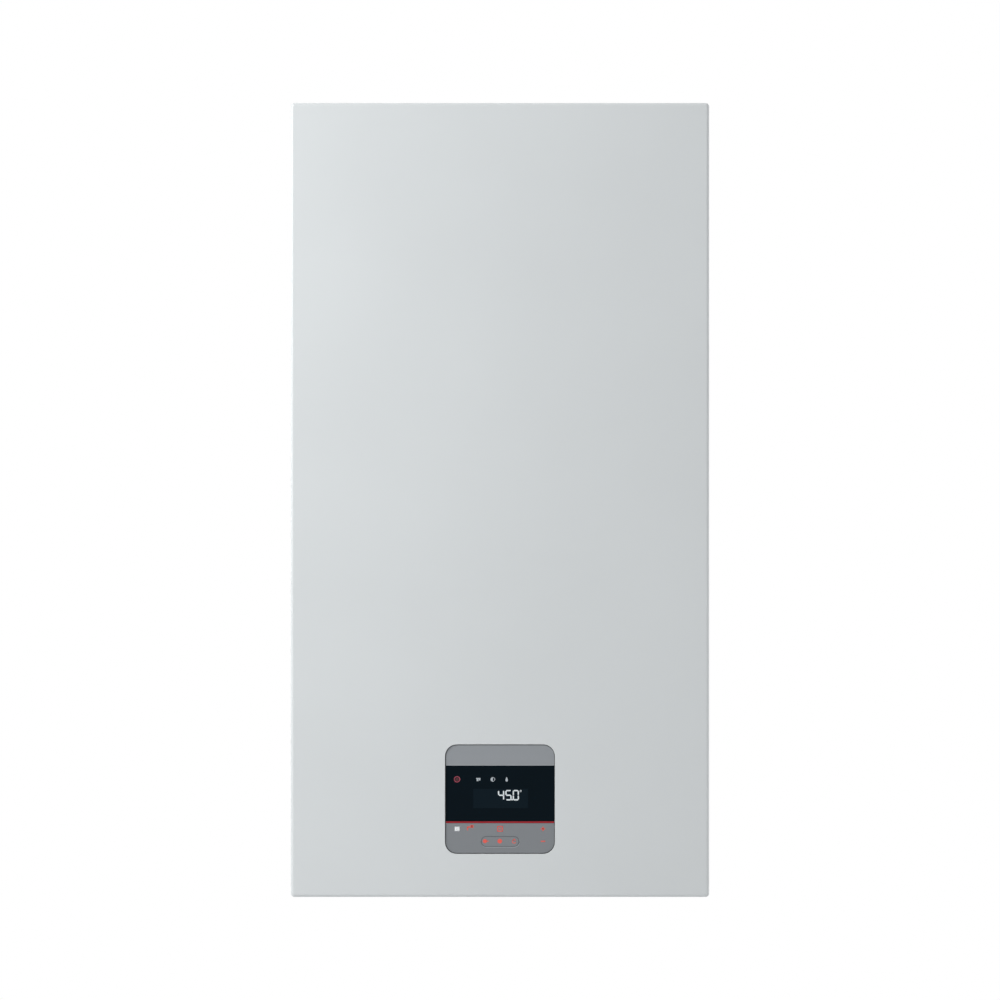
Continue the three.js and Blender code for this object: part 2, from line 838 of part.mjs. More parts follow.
// Two sockets one inside the other: the flue in the middle and the air for burning round it.
function flueAdapter() {
  const foot = topTop + seat;
  const top = foot + adapterRise;
  const ring = (radius, bore, reach) => sleeve('z', radius, bore, reach, [0, flueCentre], fineSides);
  const rings = join(
    ring(adapterFlange, airSocketRadius - adapterWall, [foot, foot + adapterFlangeThickness]),
    ring(airSocketRadius + adapterWall, airSocketRadius, [foot, top]),
    ring(flueRadius + adapterWall, flueRadius, [topTop - adapterDrop, top]),
  );
  const spokes = [0, 1, 2].map((i) => {
    const bar = new THREE.BoxGeometry(airSocketRadius - flueRadius, spokeWidth, adapterFlangeThickness);
    bar.translate((airSocketRadius + flueRadius) / 2 + sheet / 2, 0, foot + adapterFlangeThickness / 2);
    bar.rotateZ(Math.PI / 2 + (2 * Math.PI * i) / 3);
    bar.translate(0, flueCentre, 0);
    return solidOf(bar);
  });
  return piece('flue_adapter', blackPlastic, join(rings, ...spokes));
}

// ---------------------------------------------------------------------------------------------
// Front cover, which hooks over the top plate's upstand
// ---------------------------------------------------------------------------------------------

const windowCentre = [0, panelCentre];

function tray(inset, [from, to]) {
  const edge = coverEdge - inset;
  const outline = roundedRectangle(
    casingWidth - 2 * (inset + edge),
    casingHeight - 2 * (inset + edge),
    coverCorner - coverEdge,
    [0, casingHeight / 2],
  );
  return prism('y', outline, [from + edge, to - edge], {
    bevelEnabled: true,
    bevelThickness: edge,
    bevelSize: edge,
    bevelSegments: 3,
  });
}

function windowShape(margin) {
  const grown = windowPlay + margin;
  return roundedRectangle(
    panelWidth + 2 * grown,
    panelHeight + 2 * grown,
    panelCorner + grown,
    windowCentre,
  );
}

function frontCover() {
  const half = casingWidth / 2;
  const behind = coverBack + coverEdge + overshoot;
  const shell = cut(
    tray(0, [coverFace, coverBack + coverEdge]),
    block([-half, half], [coverBack, behind], [0, casingHeight]),
    tray(sheet, [coverFace + sheet, coverBack - sheet]),
    block(
      [-half + coverFold, half - coverFold],
      [coverBack - coverEdge, behind],
      [coverFold, casingHeight - coverFold],
    ),
  );
  const hookEnd = chassisFront + sheet + hookReach + sheet;
  const rail = around(0, casingWidth - 2 * hookInset);
  const hook = join(
    block(rail, [coverBack - sheet, hookEnd], [casingHeight - sheet, casingHeight]),
    block(rail, [hookEnd - sheet, hookEnd], [casingHeight - hookDrop, casingHeight]),
  );
  const lip = prism('y', windowShape(sheet), [coverFace + sheet / 2, coverFace + windowLip], windowFaces);
  const opening = prism(
    'y',
    windowShape(0),
    [coverFace - overshoot, coverFace + windowLip + overshoot],
    windowFaces,
  );
  return piece('front_cover', whitePaint, cut(join(shell, hook, lip), opening));
}

function coverInsulation() {
  const foot = panelCentre + panelHeight / 2 + matAbovePanel;
  const back = coverFace + sheet + seat;
  return piece('cover_insulation', whiteMat, block(
    [-casingWidth / 2 + matMargin, casingWidth / 2 - matMargin],
    [back, back + matThickness],
    [foot, casingHeight - matMargin],
  ));
}

function coverSeal() {
  const outer = casingWidth / 2 - sealInset;
  const inner = outer - sealWidth;
  const [low, high] = [sealInset, casingHeight - sealInset];
  const depth = [coverBack + seat, coverBack + seat + sealThickness];
  return piece('cover_seal', rubber, cut(
    block([-outer, outer], depth, [low, high]),
    block(
      [-inner, inner],
      [depth[0] - overshoot, depth[1] + overshoot],
      [low + sealWidth, high - sealWidth],
    ),
  ));
}

// ---------------------------------------------------------------------------------------------
// Controls. The panel's pieces are placed from the middle of its face, and the box's from the foot
// of its front.
// ---------------------------------------------------------------------------------------------

const glassHigh = panelHeight / 2 - capBand;
const glassLow = glassHigh - glassBand;
const accentLow = glassLow - accentBand;

function panelFrame() {
  const face = roundedRectangle(panelWidth, panelHeight, panelCorner);
  const body = prism('y', face, [0, panelDepth], windowFaces);
  const recess = block(
    around(0, panelWidth + 2 * overshoot),
    [-overshoot, glassThickness + seat],
    [accentLow - seat, glassHigh],
  );
  const inside = roundedRectangle(
    panelWidth - 2 * panelWall,
    panelHeight - 2 * panelWall,
    panelCorner - panelWall,
  );
  const hollow = prism('y', inside, [glassThickness + seat + panelWall, panelDepth + overshoot]);
  return piece('panel_frame', greyPlastic, cut(body, recess, hollow));
}

function displayGlass() {
  return piece('display_glass', darkGlass, block(
    around(0, panelWidth),
    [0, glassThickness],
    [glassLow + seat, glassHigh - seat],
  ));
}

function accentStrip() {
  return piece('accent_strip', redPlastic, block(
    around(0, panelWidth),
    [0, glassThickness],
    [accentLow, glassLow],
  ));
}

const boxMiddle = [0, boxHeight / 2];

function boxShape(inset) {
  return roundedRectangle(boxWidth - 2 * inset, boxHeight - 2 * inset, boxCorner - inset, boxMiddle);
}

function electronicsBox() {
  const shell = cut(
    prism('y', boxShape(0), [0, boxDepth]),
    prism('y', boxShape(boxWall), [boxWall, boxDepth + overshoot]),
  );
  const plugHole = roundedRectangle(plugWidth, plugWidth, boxCorner, [0, panelCentre - boxFoot]);
  const ears = [-1, 1].map((side) => block(
    [side * (boxWidth / 2 - boxWall), side * plateEdge].sort(ascending),
    around(boxDepth / 2, earThickness),
    [boxCorner, boxCorner + earHeight],
  ));
  const opened = cut(shell, prism('y', plugHole, [-overshoot, boxWall + overshoot]));
  return piece('electronics_box', blackPlastic, join(opened, ...ears));
}

function electronicsLid() {
  const depth = [boxDepth + seat, boxDepth + seat + boxWall];
  const plate = prism('y', boxShape(0), depth);
  const first = -((ventSlots - 1) * ventPitch) / 2;
  const slots = [];
  for (let i = 0; i < ventSlots; i += 1) {
    slots.push(block(
      around(first + i * ventPitch, ventWidth),
      [depth[0] - overshoot, depth[1] + overshoot],
      around(boxHeight / 2, ventLength),
    ));
  }
  return piece('electronics_lid', blackPlastic, cut(plate, ...slots));
}

// The board with its transformer and a row of relays on the side that faces the lid.
function mainBoard() {
  const halfWidth = boxWidth / 2 - boardMargin;
  const [low, high] = [boardMargin, boxHeight - boardMargin];
  const front = boxWall + seat + boardStandoff;
  const back = front + boardThickness;
  const legs = [-1, 1].flatMap((side) => [low + boardMargin, high - boardMargin].map((height) => rod(
    'y',
    standoffRadius,
    [boxWall + seat, back],
    [side * (halfWidth - boardMargin), height],
    smallSides,
  )));
  const transformer = block(
    [-halfWidth + boardMargin, -halfWidth + boardMargin + transformerWidth],
    [front, back + transformerDepth],
    around(boxHeight / 2, transformerHeight),
  );
  const relays = [];
  for (let i = 0; i < relayCount; i += 1) {
    relays.push(block(
      around(relayFirst + 1.5 * relaySize * i, relaySize),
      [front, back + relaySize],
      around(boxHeight / 2, 1.5 * relaySize),
    ));
  }
  const plate = block([-halfWidth, halfWidth], [front, back], [low, high]);
  return piece('main_board', boardGreen, join(plate, transformer, ...legs, ...relays));
}

// The gland through the base plate that the mains cable is led in by, with its lock nut below.
function cableGland() {
  const under = baseRecess - seat;
  const above = baseTop + seat;
  return piece('cable_gland', blackPlastic, turned('z', [
    [glandBore, under - glandNut],
    [glandRadius, under - glandNut],
    [glandRadius, under],
    [glandNeck, under],
    [glandNeck, above],
    [glandRadius, above],
    [glandRadius, above + glandNut],
    [glandNeck, above + glandHeight],
    [glandBore, above + glandHeight],
    [glandBore, under - glandNut],
  ], [glandX, -glandY], smallSides));
}

// ---------------------------------------------------------------------------------------------
// Heat exchanger and burner, placed from the middle of the heat exchanger's front flange
// ---------------------------------------------------------------------------------------------

const drainPlace = flueCentre - flangeFace;

function exchangerHousing() {
  const inner = housingRadius - housingWall;
  const drainFoot = -housingRadius - drainLength;
  const shell = turned('y', [
    [0, 0],
    [housingFlange, 0],
    [housingFlange, flangeThickness],
    [housingRadius, flangeThickness],
    [housingRadius, housingLength],
    [0, housingLength],
  ]);
  const cradles = [cradleInset, housingLength - cradleInset].map((place) => block(
    around(0, cradleWidth),
    around(place, cradleThickness),
    [-housingRadius - cradleHeight, -housingRadius / 2],
  ));
  const solid = join(
    shell,
    ...cradles,
    rod('z', flueRadius, [0, housingRadius + flueStub], [0, drainPlace]),
    rod('z', drainRadius, [drainFoot, 0], [0, drainPlace], smallSides),
  );
  const coilHole = coilTube + 2 * seat;
  const reach = -housingRadius - overshoot;
  return piece('exchanger_housing', stainless, cut(
    solid,
    rod('y', inner, [-overshoot, housingLength - housingWall]),
    rod('z', flueRadius - flueWall, [0, housingRadius + flueStub + overshoot], [0, drainPlace]),
    rod('z', drainRadius - housingWall, [drainFoot - overshoot, 0], [0, drainPlace], smallSides),
    rod('z', coilHole, [reach, 0], [coilRadius, coilInset], smallSides),
    rod('z', coilHole, [reach, 0], [-coilRadius, coilInset + coilTurns * coilPitch], smallSides),
  ));
}

// The water coil round the burner. Both its ends run straight down and out of the housing.
function exchangerCoil() {
  const foot = coilFoot - exchangerAxis;
  const steps = coilTurns * coilSteps;
  const stations = [{
    point: new THREE.Vector3(coilRadius, coilInset, foot),
    direction: new THREE.Vector3(0, 0, 1),
  }];
  for (let i = 0; i <= steps; i += 1) {
    const angle = (2 * Math.PI * i) / coilSteps;
    const [cosine, sine] = [Math.cos(angle), Math.sin(angle)];
    stations.push({
      point: new THREE.Vector3(
        coilRadius * cosine,
        coilInset + (coilPitch * i) / coilSteps,
        coilRadius * sine,
      ),
      direction: new THREE.Vector3(-sine, 0, cosine),
    });
  }
  stations.push({
    point: new THREE.Vector3(-coilRadius, coilInset + coilTurns * coilPitch, foot),
    direction: new THREE.Vector3(0, 0, -1),
  });
  return piece('exchanger_coil', stainless, swept(circle(coilTube, coilSides), stations));
}

// A cast door with a raised rim and hub and stiffening ribs between them.
function burnerDoor() {
  const back = -seat;
  const front = back - doorThickness;
  const recess = front + doorRim;
  const hub = ductRadius + ductFlange;
  const rim = housingFlange - doorRimWidth;
  const disk = turned('y', [
    [doorBore, back],
    [housingFlange, back],
    [housingFlange, front],
    [rim, front],
    [rim, recess],
    [hub, recess],
    [hub, front],
    [doorBore, front],
    [doorBore, back],
  ]);
  const ribs = [];
  for (let i = 0; i < doorRibs; i += 1) {
    ribs.push(block(
      [hub - overshoot, rim + overshoot],
      [front + doorRibDrop, recess + overshoot],
      around(0, doorRibWidth),
      frames.x[0],
      (2 * Math.PI * i) / doorRibs,
    ));
  }
  const electrodeHole = rod(
    'y',
    electrodeRadius + seat,
    [front - overshoot, back + overshoot],
    [electrodePlace, electrodePlace],
    smallSides,
  );
  return piece('burner_door', castAluminium, cut(join(disk, ...ribs), electrodeHole));
}

function burnerTube() {
  const inner = burnerRadius - burnerWall;
  const tube = turned('y', [
    [0, burnerLength - burnerWall],
    [inner, burnerLength - burnerWall],
    [inner, 0],
    [burnerFlange, 0],
    [burnerFlange, burnerFlangeThickness],
    [burnerRadius, burnerFlangeThickness],
    [burnerRadius, burnerLength],
    [0, burnerLength],
  ]);
  const slots = [];
  for (let i = 0; i < burnerSlots; i += 1) {
    slots.push(block(
      [burnerRadius - 2 * overshoot, burnerRadius + overshoot],
      [burnerSlotEdge, burnerLength - burnerSlotEdge],
      around(0, burnerSlotWidth),
      frames.x[0],
      (2 * Math.PI * i) / burnerSlots,
    ));
  }
  return piece('burner_tube', stainless, cut(tube, ...slots));
}

function ignitionElectrode() {
  const collar = -2 * seat - doorThickness + doorRim;
  const wire = electrodeRadius / 2;
  return piece('ignition_electrode', whitePlastic, turned('y', [
    [0, collar - electrodeReach],
    [wire, collar - electrodeReach],
    [wire, collar - electrodeCollar],
    [electrodeRadius + electrodeCollar / 2, collar - electrodeCollar],
    [electrodeRadius + electrodeCollar / 2, collar],
    [electrodeRadius, collar],
    [electrodeRadius, electrodeCollar],
    [wire, electrodeCollar],
    [wire, electrodeReach],
    [0, electrodeReach],
  ], [electrodePlace, electrodePlace], smallSides));
}

// The duct that leads the mixture from the fan's outlet round to the middle of the burner door.
const ductStart = fanY - outletLength - seat;
const ductEnd = doorFace - seat;

function ductRun(radius, overrun) {
  const left = fanX + outletX;
  return pipe([
    [left, ductStart + overrun, exchangerAxis],
    [left, ductLine, exchangerAxis],
    [0, ductLine, exchangerAxis],
    [0, ductEnd + overrun, exchangerAxis],
  ], radius, { bend: ductBend, sides: ductSides });
}

function mixingDuct() {
  const fanFlange = block(
    around(fanX + outletX, outletWidth + ductFlange),
    [ductStart - flangeThickness, ductStart],
    around(exchangerAxis, fanHeight),
  );
  const doorFlange = rod(
    'y',
    ductRadius + ductFlange,
    [ductEnd - flangeThickness, ductEnd],
    [0, exchangerAxis],
  );
  const solid = join(ductRun(ductRadius, -overshoot), fanFlange, doorFlange);
  return piece('mixing_duct', castAluminium, cut(solid, ductRun(ductRadius - ductWall, overshoot)));
}

function fluePipe() {
  const foot = exchangerAxis + housingRadius + flueStub + seat;
  const top = topTop - adapterDrop - seat;
  return piece('flue_pipe', stainless, sleeve(
    'z',
    flueRadius,
    flueRadius - flueWall,
    [foot, top],
    [0, flueCentre],
  ));
}

function condensateHose() {
  const top = exchangerAxis - housingRadius - drainLength - seat;
  return piece('condensate_hose', rubber, sleeve(
    'z',
    hoseRadius,
    hoseRadius - hoseWall,
    [trapTop + seat, top],
    [0, flueCentre],
    smallSides,
  ));
}

function condensateTrap() {
  const foot = baseTop + seat;
  const solid = turned('z', [
    [0, pipeFoot],
    [trapOutlet, pipeFoot],
    [trapOutlet, foot],
    [trapRadius, foot],
    [trapRadius, trapTop - trapNeck],
    [hoseRadius, trapTop - trapNeck / 2],
    [hoseRadius, trapTop],
    [0, trapTop],
  ], [0, flueCentre]);
  const inlet = [trapTop - trapNeck, trapTop + overshoot];
  const outlet = [pipeFoot - overshoot, pipeFoot + boreDepth];
  return piece('condensate_trap', greyPlastic, cut(
    solid,
    rod('z', hoseRadius - hoseWall, inlet, [0, flueCentre], smallSides),
    rod('z', trapOutlet - hoseWall, outlet, [0, flueCentre], smallSides),
  ));
}

// ---------------------------------------------------------------------------------------------
// Fan, air and gas, placed from the middle of the fan's wheel
// ---------------------------------------------------------------------------------------------

const fanFoot = -fanHeight / 2;
const mixerTop = fanFoot - seat;
const mixerFoot = mixerTop - mixerHeight;
const mixerPort = mixerTop - mixerHeight / 2;
const valveTop = mixerFoot - valveGap;
const valveFoot = valveTop - valveHeight;

// The housing's outline: its radius grows steadily from the tongue round to the outlet.
function volute(wall) {
  const points = [];
  for (let i = 0; i < voluteSteps; i += 1) {
    const share = i / voluteSteps;
    const radius = voluteStart + voluteGrowth * share - wall;
    const angle = -2 * Math.PI * share;
    points.push([radius * Math.cos(angle), radius * Math.sin(angle)]);
  }
  points.push([voluteEnd - wall, 0]);
  return polygon(points);
}

function fanHousing() {
  const inside = fanHeight - 2 * fanWall;
  const outer = join(
    prism('z', volute(0), around(0, fanHeight)),
    block(around(outletX, outletWidth), [-outletLength, 0], around(0, fanHeight)),
  );
  return piece('fan_housing', castAluminium, cut(
    outer,
    prism('z', volute(fanWall), around(0, inside)),
    block(
      around(outletX, outletWidth - 2 * fanWall),
      [-outletLength - overshoot, 0],
      around(0, inside),
    ),
    rod('z', inletRadius, [fanFoot - overshoot, 0]),
    rod('z', shaftRadius + shaftPlay, [0, fanHeight], [0, 0], smallSides),
  ));
}

// One blade of the fan's wheel: a thin strip that leans back as it runs out.
function bladeShape(start) {
  const [inner, outer] = [[], []];
  for (let i = 0; i <= bladeSteps; i += 1) {
    const share = i / bladeSteps;
    const radius = bladeInner + (wheelRadius - wheelCover - bladeInner) * share;
    const angle = start + bladeSweep * share;
    const half = bladeThickness / 2 / radius;
    inner.push([radius * Math.cos(angle - half), radius * Math.sin(angle - half)]);
    outer.unshift([radius * Math.cos(angle + half), radius * Math.sin(angle + half)]);
  }
  return polygon([...inner, ...outer]);
}

function fanImpeller() {
  const [low, high] = around(0, wheelHeight);
  const blades = [];
  for (let i = 0; i < bladeCount; i += 1) {
    blades.push(prism('z', bladeShape((2 * Math.PI * i) / bladeCount), [low, high - wheelCover / 2]));
  }
  const shaftTop = fanHeight / 2 + shaftReach;
  return piece('fan_impeller', blackPlastic, join(
    rod('z', wheelRadius, [high - wheelCover, high]),
    sleeve('z', wheelRadius, bladeInner, [low - wheelCover / 2, low + wheelCover / 2]),
    rod('z', wheelHub, [0, high]),
    rod('z', shaftRadius, [0, shaftTop], [0, 0], smallSides),
    ...blades,
  ));
}

function fanMotor() {
  const foot = fanHeight / 2 + seat;
  const top = foot + motorHeight;
  const body = turned('z', [
    [0, foot],
    [motorRadius, foot],
    [motorRadius, top - motorRound],
    [motorRadius - motorRound, top],
    [0, top],
  ]);
  const plug = block(
    [-motorRadius - plugReach, 0],
    around(0, motorRadius),
    [foot + motorRound, top - motorRound],
  );
  const depth = fanHeight / 2 + shaftReach + seat;
  const bore = rod('z', shaftRadius + shaftPlay, [0, depth], [0, 0], smallSides);
  return piece('fan_motor', blackPlastic, cut(join(body, plug), bore));
}

// The narrowed body in which the rising air draws in the gas.
function airGasMixer() {
  const waist = mixerRadius - mixerWaist;
  const body = turned('z', [
    [0, mixerFoot],
    [mixerRadius, mixerFoot],
    [mixerRadius, mixerFoot + mixerWaist],
    [waist, mixerFoot + 2 * mixerWaist],
    [waist, mixerTop - 2 * mixerWaist],
    [mixerRadius, mixerTop - mixerWaist],
    [mixerRadius, mixerTop],
    [0, mixerTop],
  ]);
  const port = rod('y', airPipeRadius, [0, airPortReach], [0, mixerPort], smallSides);
  return piece('air_gas_mixer', castAluminium, cut(
    join(body, port),
    rod('z', mixerBore, [mixerFoot + mixerWaist, mixerTop + overshoot]),
    rod('z', mixerBore / 2, [mixerFoot - overshoot, mixerTop], [0, 0], smallSides),
    rod('y', airPipeBore, [0, airPortReach + overshoot], [0, mixerPort], smallSides),
  ));
}

function airIntakePipe() {
  const start = airPortReach + seat;
  const rise = voluteEnd + airPipeGap + airPipeRadius;
  const mouth = topUnder - airPipeTop - exchangerAxis;
  const bend = pipe([
    [0, start, mixerPort],
    [0, rise, mixerPort],
    [0, rise, mouth],
  ], airPipeRadius, { bend: airPipeBend, bore: airPipeBore, hollow: true });
  const collar = sleeve(
    'z',
    airPipeRadius + airCollar,
    airPipeRadius - overshoot,
    [mouth - airCollarHeight, mouth],
    [0, rise],
  );
  return piece('air_intake_pipe', blackPlastic, join(bend, collar));
}

// The gas valve hangs under the mixer. Its two solenoids face the room.
function gasValve() {
  const body = prism('z', roundedRectangle(valveWidth, valveDepth, valveCorner), [valveFoot, valveTop]);
  const reach = [valveTop - overshoot, mixerFoot - seat];
  const neck = rod('z', mixerBore / 2 + ductWall, reach, [0, 0], smallSides);
  const middle = (valveFoot + valveTop) / 2;
  const solenoids = [-1, 1].map((side) => rod(
    'y',
    solenoidRadius,
    [-valveDepth / 2 - solenoidLength, 0],
    [side * valveWidth / 4, middle],
    smallSides,
  ));
  return piece('gas_valve', castAluminium, join(body, neck, ...solenoids));
}

// ---------------------------------------------------------------------------------------------
// Pipes with their union nuts, in the whole assembly's places
// ---------------------------------------------------------------------------------------------

function unionNut([x, y], radius = waterPipe) {
  const shape = circle(radius + nutWall, 6, [x, y]);
  return prism('z', shape, [nutFoot, nutFoot + nutHeight]);
}

function connection(x) {
  return [x, -connectionLine];
}

function gasSupply() {
  const run = baseTop + heatingRun;
  const foot = connection(fanX);
  return piece('gas_pipe', copper, join(
    pipe([
      [fanX, fanY, exchangerAxis + valveFoot - seat],
      [fanX, fanY, run],
      [...foot, run],
      [...foot, pipeFoot],
    ], gasPipe, { bore: waterBore }),
    cut(unionNut(foot, gasPipe), rod('z', gasPipe - overshoot, [0, casingHeight], foot, smallSides)),
  ));
}

function heatingPipe(name, side) {
  const run = baseTop + heatingRun;
  const foot = connection(side * heatingConnection);
  return piece(name, copper, join(
    pipe([
      [side * heatingConnection, blockRear + seat, run],
      [...foot, run],
      [...foot, pipeFoot],
    ], waterPipe, { bore: waterBore }),
    cut(unionNut(foot), rod('z', waterPipe - overshoot, [0, casingHeight], foot, smallSides)),
  ));
}

const stubFoot = tankShelfHeight + seat - tankStub;

function domesticPipe(name, side) {
  const run = baseTop + waterRun;
  const foot = connection(side * waterConnection);
  return piece(name, copper, join(
    pipe([
      [...foot, pipeFoot],
      [...foot, run],
      [side * tankX, tankY, run],
      [side * tankX, tankY, stubFoot - seat],
    ], waterPipe, { bore: waterBore }),
    cut(unionNut(foot), rod('z', waterPipe - overshoot, [0, casingHeight], foot, smallSides)),
  ));
}

function exchangerFlowPipe() {
  const rise = shelfTop - jogDrop;
  const run = blockFoot + pumpHeight;
  const front = blockFront - flowPipeGap;
  return piece('exchanger_flow_pipe', copper, pipe([
    [-coilRadius, coilEnd, coilFoot - seat],
    [-coilRadius, coilEnd, rise],
    [-flowPort, front, rise - jogDrop],
    [-flowPort, front, run],
    [-flowPort, blockFront - seat, run],
  ], waterPipe));
}

function exchangerReturnPipe() {
  const rise = shelfTop - jogDrop;
  return piece('exchanger_return_pipe', copper, pipe([
    [returnPort, portLine, blockTop + seat],
    [returnPort, portLine, rise - 2 * jogDrop],
    [coilRadius, coilStart, rise],
    [coilRadius, coilStart, coilFoot - seat],
  ], waterPipe));
}

function tankLinkPipe() {
  const foot = tankShelfHeight + seat + tankHeight + tankStub + seat;
  return piece('tank_link_pipe', copper, pipe([
    [-tankX, tankY, foot],
    [-tankX, tankY, foot + linkRise],
    [tankX, tankY, foot + linkRise],
    [tankX, tankY, foot],
  ], waterPipe));
}

// ---------------------------------------------------------------------------------------------
// Tanks and expansion vessel. A tank's pieces are placed from the middle of its foot.
// ---------------------------------------------------------------------------------------------

const chargeHeight = chargeLine - tankShelfHeight;

function domePoints(centre, direction) {
  const points = [];
  for (let i = 0; i <= domeSteps; i += 1) {
    const angle = ((Math.PI / 2) * i) / domeSteps;
    const radius = tankStubRadius + (tankRadius - tankStubRadius) * Math.cos(angle);
    points.push([radius, centre + direction * tankDome * Math.sin(angle)]);
  }
  return points;
}

function storageTank(name, hasChargePort) {
  const shoulder = tankHeight - tankDome;
  const waist = tankDome + tankFoot;
  const body = turned('z', [
    [0, -tankStub],
    [tankStubRadius, -tankStub],
    ...domePoints(waist, -1).reverse(),
    ...domePoints(shoulder, 1),
    [tankStubRadius, tankHeight + tankStub],
    [0, tankHeight + tankStub],
  ]);
  const ring = sleeve('z', footRing, footRing - footRingWall, [0, waist]);
  const reach = tankRadius + jacketThickness + chargeStub;
  const port = rod('y', waterPipe, [-reach, 0], [0, chargeHeight], smallSides);
  return piece(name, stainless, hasChargePort ? join(body, ring, port) : join(body, ring));
}

function tankJacket(name, hasChargePort) {
  const foot = tankDome + tankFoot;
  const shell = sleeve('z', jacketRadius, tankRadius + seat, [foot, tankHeight - tankDome]);
  const hole = rod('y', waterPipe + holePlay, [-jacketRadius - overshoot, 0], [0, chargeHeight], smallSides);
  return piece(name, foamInsulation, hasChargePort ? cut(shell, hole) : shell);
}

// Two pressed shells welded along a flat seam.
function expansionVessel() {
  const round = vesselRound;
  const centre = [0, shelfTop + seat + vesselSeam + vesselHeight / 2];
  const shells = prism(
    'y',
    roundedRectangle(vesselWidth - 2 * round, vesselHeight - 2 * round, vesselCorner - round, centre),
    around(vesselMiddle, vesselDepth - 2 * round),
    { bevelEnabled: true, bevelThickness: round, bevelSize: round, bevelSegments: 3, curveSegments: 3 },
  );
  const seam = prism(
    'y',
    roundedRectangle(
      vesselWidth + 2 * vesselSeam,
      vesselHeight + 2 * vesselSeam,
      vesselCorner + vesselSeam,
      centre,
    ),
    around(vesselMiddle, vesselSeamThickness),
    { curveSegments: 3 },
  );
  const port = rod(
    'z',
    hosePipe,
    [shelfTop - vesselPortDrop, shelfTop + vesselHeight / 2],
    [-vesselPort, vesselMiddle],
    smallSides,
  );
  return piece('expansion_vessel', redPaint, join(shells, seam, port));
}

function vesselHose() {
  const rise = shelfTop - vesselPortDrop - seat;
  return piece('vessel_hose', rubber, pipe([
    [-vesselPort, vesselMiddle, rise],
    [-vesselPort, vesselMiddle, stackTop + hoseRise + hoseSlant],
    [-hosePort, blockRear - hoseInset, stackTop + hoseRise],
    [-hosePort, blockRear - hoseInset, blockTop + seat],
  ], hosePipe));
}

// ---------------------------------------------------------------------------------------------
// Pump and valve blocks
// ---------------------------------------------------------------------------------------------


function portBlock(side) {
  const shape = roundedRectangle(blockWidth, blockDepth, blockCorner, [
    side * blockMiddle,
    (blockFront + blockRear) / 2,
  ]);
  return prism('z', shape, [blockFoot, blockTop]);
}

function flowBlock() {
  const chamber = rod(
    'z',
    diskRadius + spindlePlay,
    [blockTop - spindleChamber, blockTop + overshoot],
    [diverterX, portLine],
    smallSides,
  );
  return piece('flow_block', brass, cut(portBlock(-1), chamber));
}

function diverterMotor() {
  const foot = blockTop + seat;
  const top = foot + diverterHeight;
  const body = turned('z', [
    [0, foot],
    [diverterRadius, foot],
    [diverterRadius, top - diverterRadius / 2],
    [diverterRadius / 2, top],
    [0, top],
  ], [diverterX, portLine]);
  const bore = rod(
    'z',
    spindleRadius + seat,
    [foot - overshoot, foot + diverterHeight / 2],
    [diverterX, portLine],
    smallSides,
  );
  return piece('diverter_motor', whitePlastic, cut(body, bore));
}

function diverterSpindle() {
  const foot = blockTop - spindleChamber + seat;
  return piece('diverter_spindle', brass, turned('z', [
    [0, foot],
    [diskRadius, foot],
    [diskRadius, foot + diskThickness],
    [spindleRadius, foot + diskThickness],
    [spindleRadius, foot + spindleLength],
    [0, foot + spindleLength],
  ], [diverterX, portLine], smallSides));
}

const pumpWheelRoom = pumpWheelLength + 2 * pumpPlay;

function returnBlock() {
  const room = rod(
    'y',
    pumpWheelRadius + 2 * pumpPlay,
    [blockFront - overshoot, blockFront + pumpWheelRoom],
    [blockMiddle, pumpAxis],
  );
  return piece('return_block', brass, cut(portBlock(1), room));
}

function pumpMotor() {
  const back = blockFront - seat;
  const front = back - pumpLength;
  const can = turned('y', [
    [0, front],
    [pumpRadius - pumpRound, front],
    [pumpRadius, front + pumpRound],
    [pumpRadius, back],
    [0, back],
  ], [blockMiddle, pumpAxis]);
  const room = rod(
    'y',
    rotorRadius + pumpPlay,
    [front + pumpWall, back + overshoot],
    [blockMiddle, pumpAxis],
  );
  return piece('pump_motor', castAluminium, cut(can, room));
}

function pumpRotor() {
  const shaftFront = blockFront - seat - pumpLength + pumpWall + seat;
  const rotorFront = shaftFront + pumpRound;
  const wheelFront = blockFront + pumpPlay;
  return piece('pump_rotor', stainless, turned('y', [
    [0, shaftFront],
    [spindleRadius, shaftFront],
    [spindleRadius, rotorFront],
    [rotorRadius, rotorFront],
    [rotorRadius, rotorFront + rotorLength],
    [spindleRadius, rotorFront + rotorLength],
    [spindleRadius, wheelFront],
    [pumpWheelRadius, wheelFront],
    [pumpWheelRadius, wheelFront + pumpWheelLength],
    [0, wheelFront + pumpWheelLength],
  ], [blockMiddle, pumpAxis]));
}

// A brazed stack of plates, grooved round its edge where one plate meets the next.
function plateHeatExchanger() {
  const foot = blockTop + seat;
  const middle = [0, foot + plateStackHeight / 2];
  const rear = blockRear - stackBack;
  const stack = prism(
    'y',
    roundedRectangle(plateStackWidth, plateStackHeight, blockCorner, middle),
    [rear - plateStackDepth, rear],
    plainCorners,
  );
  const ribbed = roundedRectangle(
    plateStackWidth - 2 * plateRib,
    plateStackHeight - 2 * plateRib,
    blockCorner - plateRib,
    middle,
  );
  const frame = roundedRectangle(
    plateStackWidth + 2 * overshoot,
    plateStackHeight + 2 * overshoot,
    blockCorner,
    middle,
  );
  frame.holes.push(ribbed);
  const pitch = plateStackDepth / (plateGrooves + 1);
  const grooves = [];
  for (let i = 1; i <= plateGrooves; i += 1) {
    grooves.push(prism('y', frame, around(rear - pitch * i, plateRib), plainCorners));
  }
  return piece('plate_heat_exchanger', stainless, cut(stack, ...grooves));
}

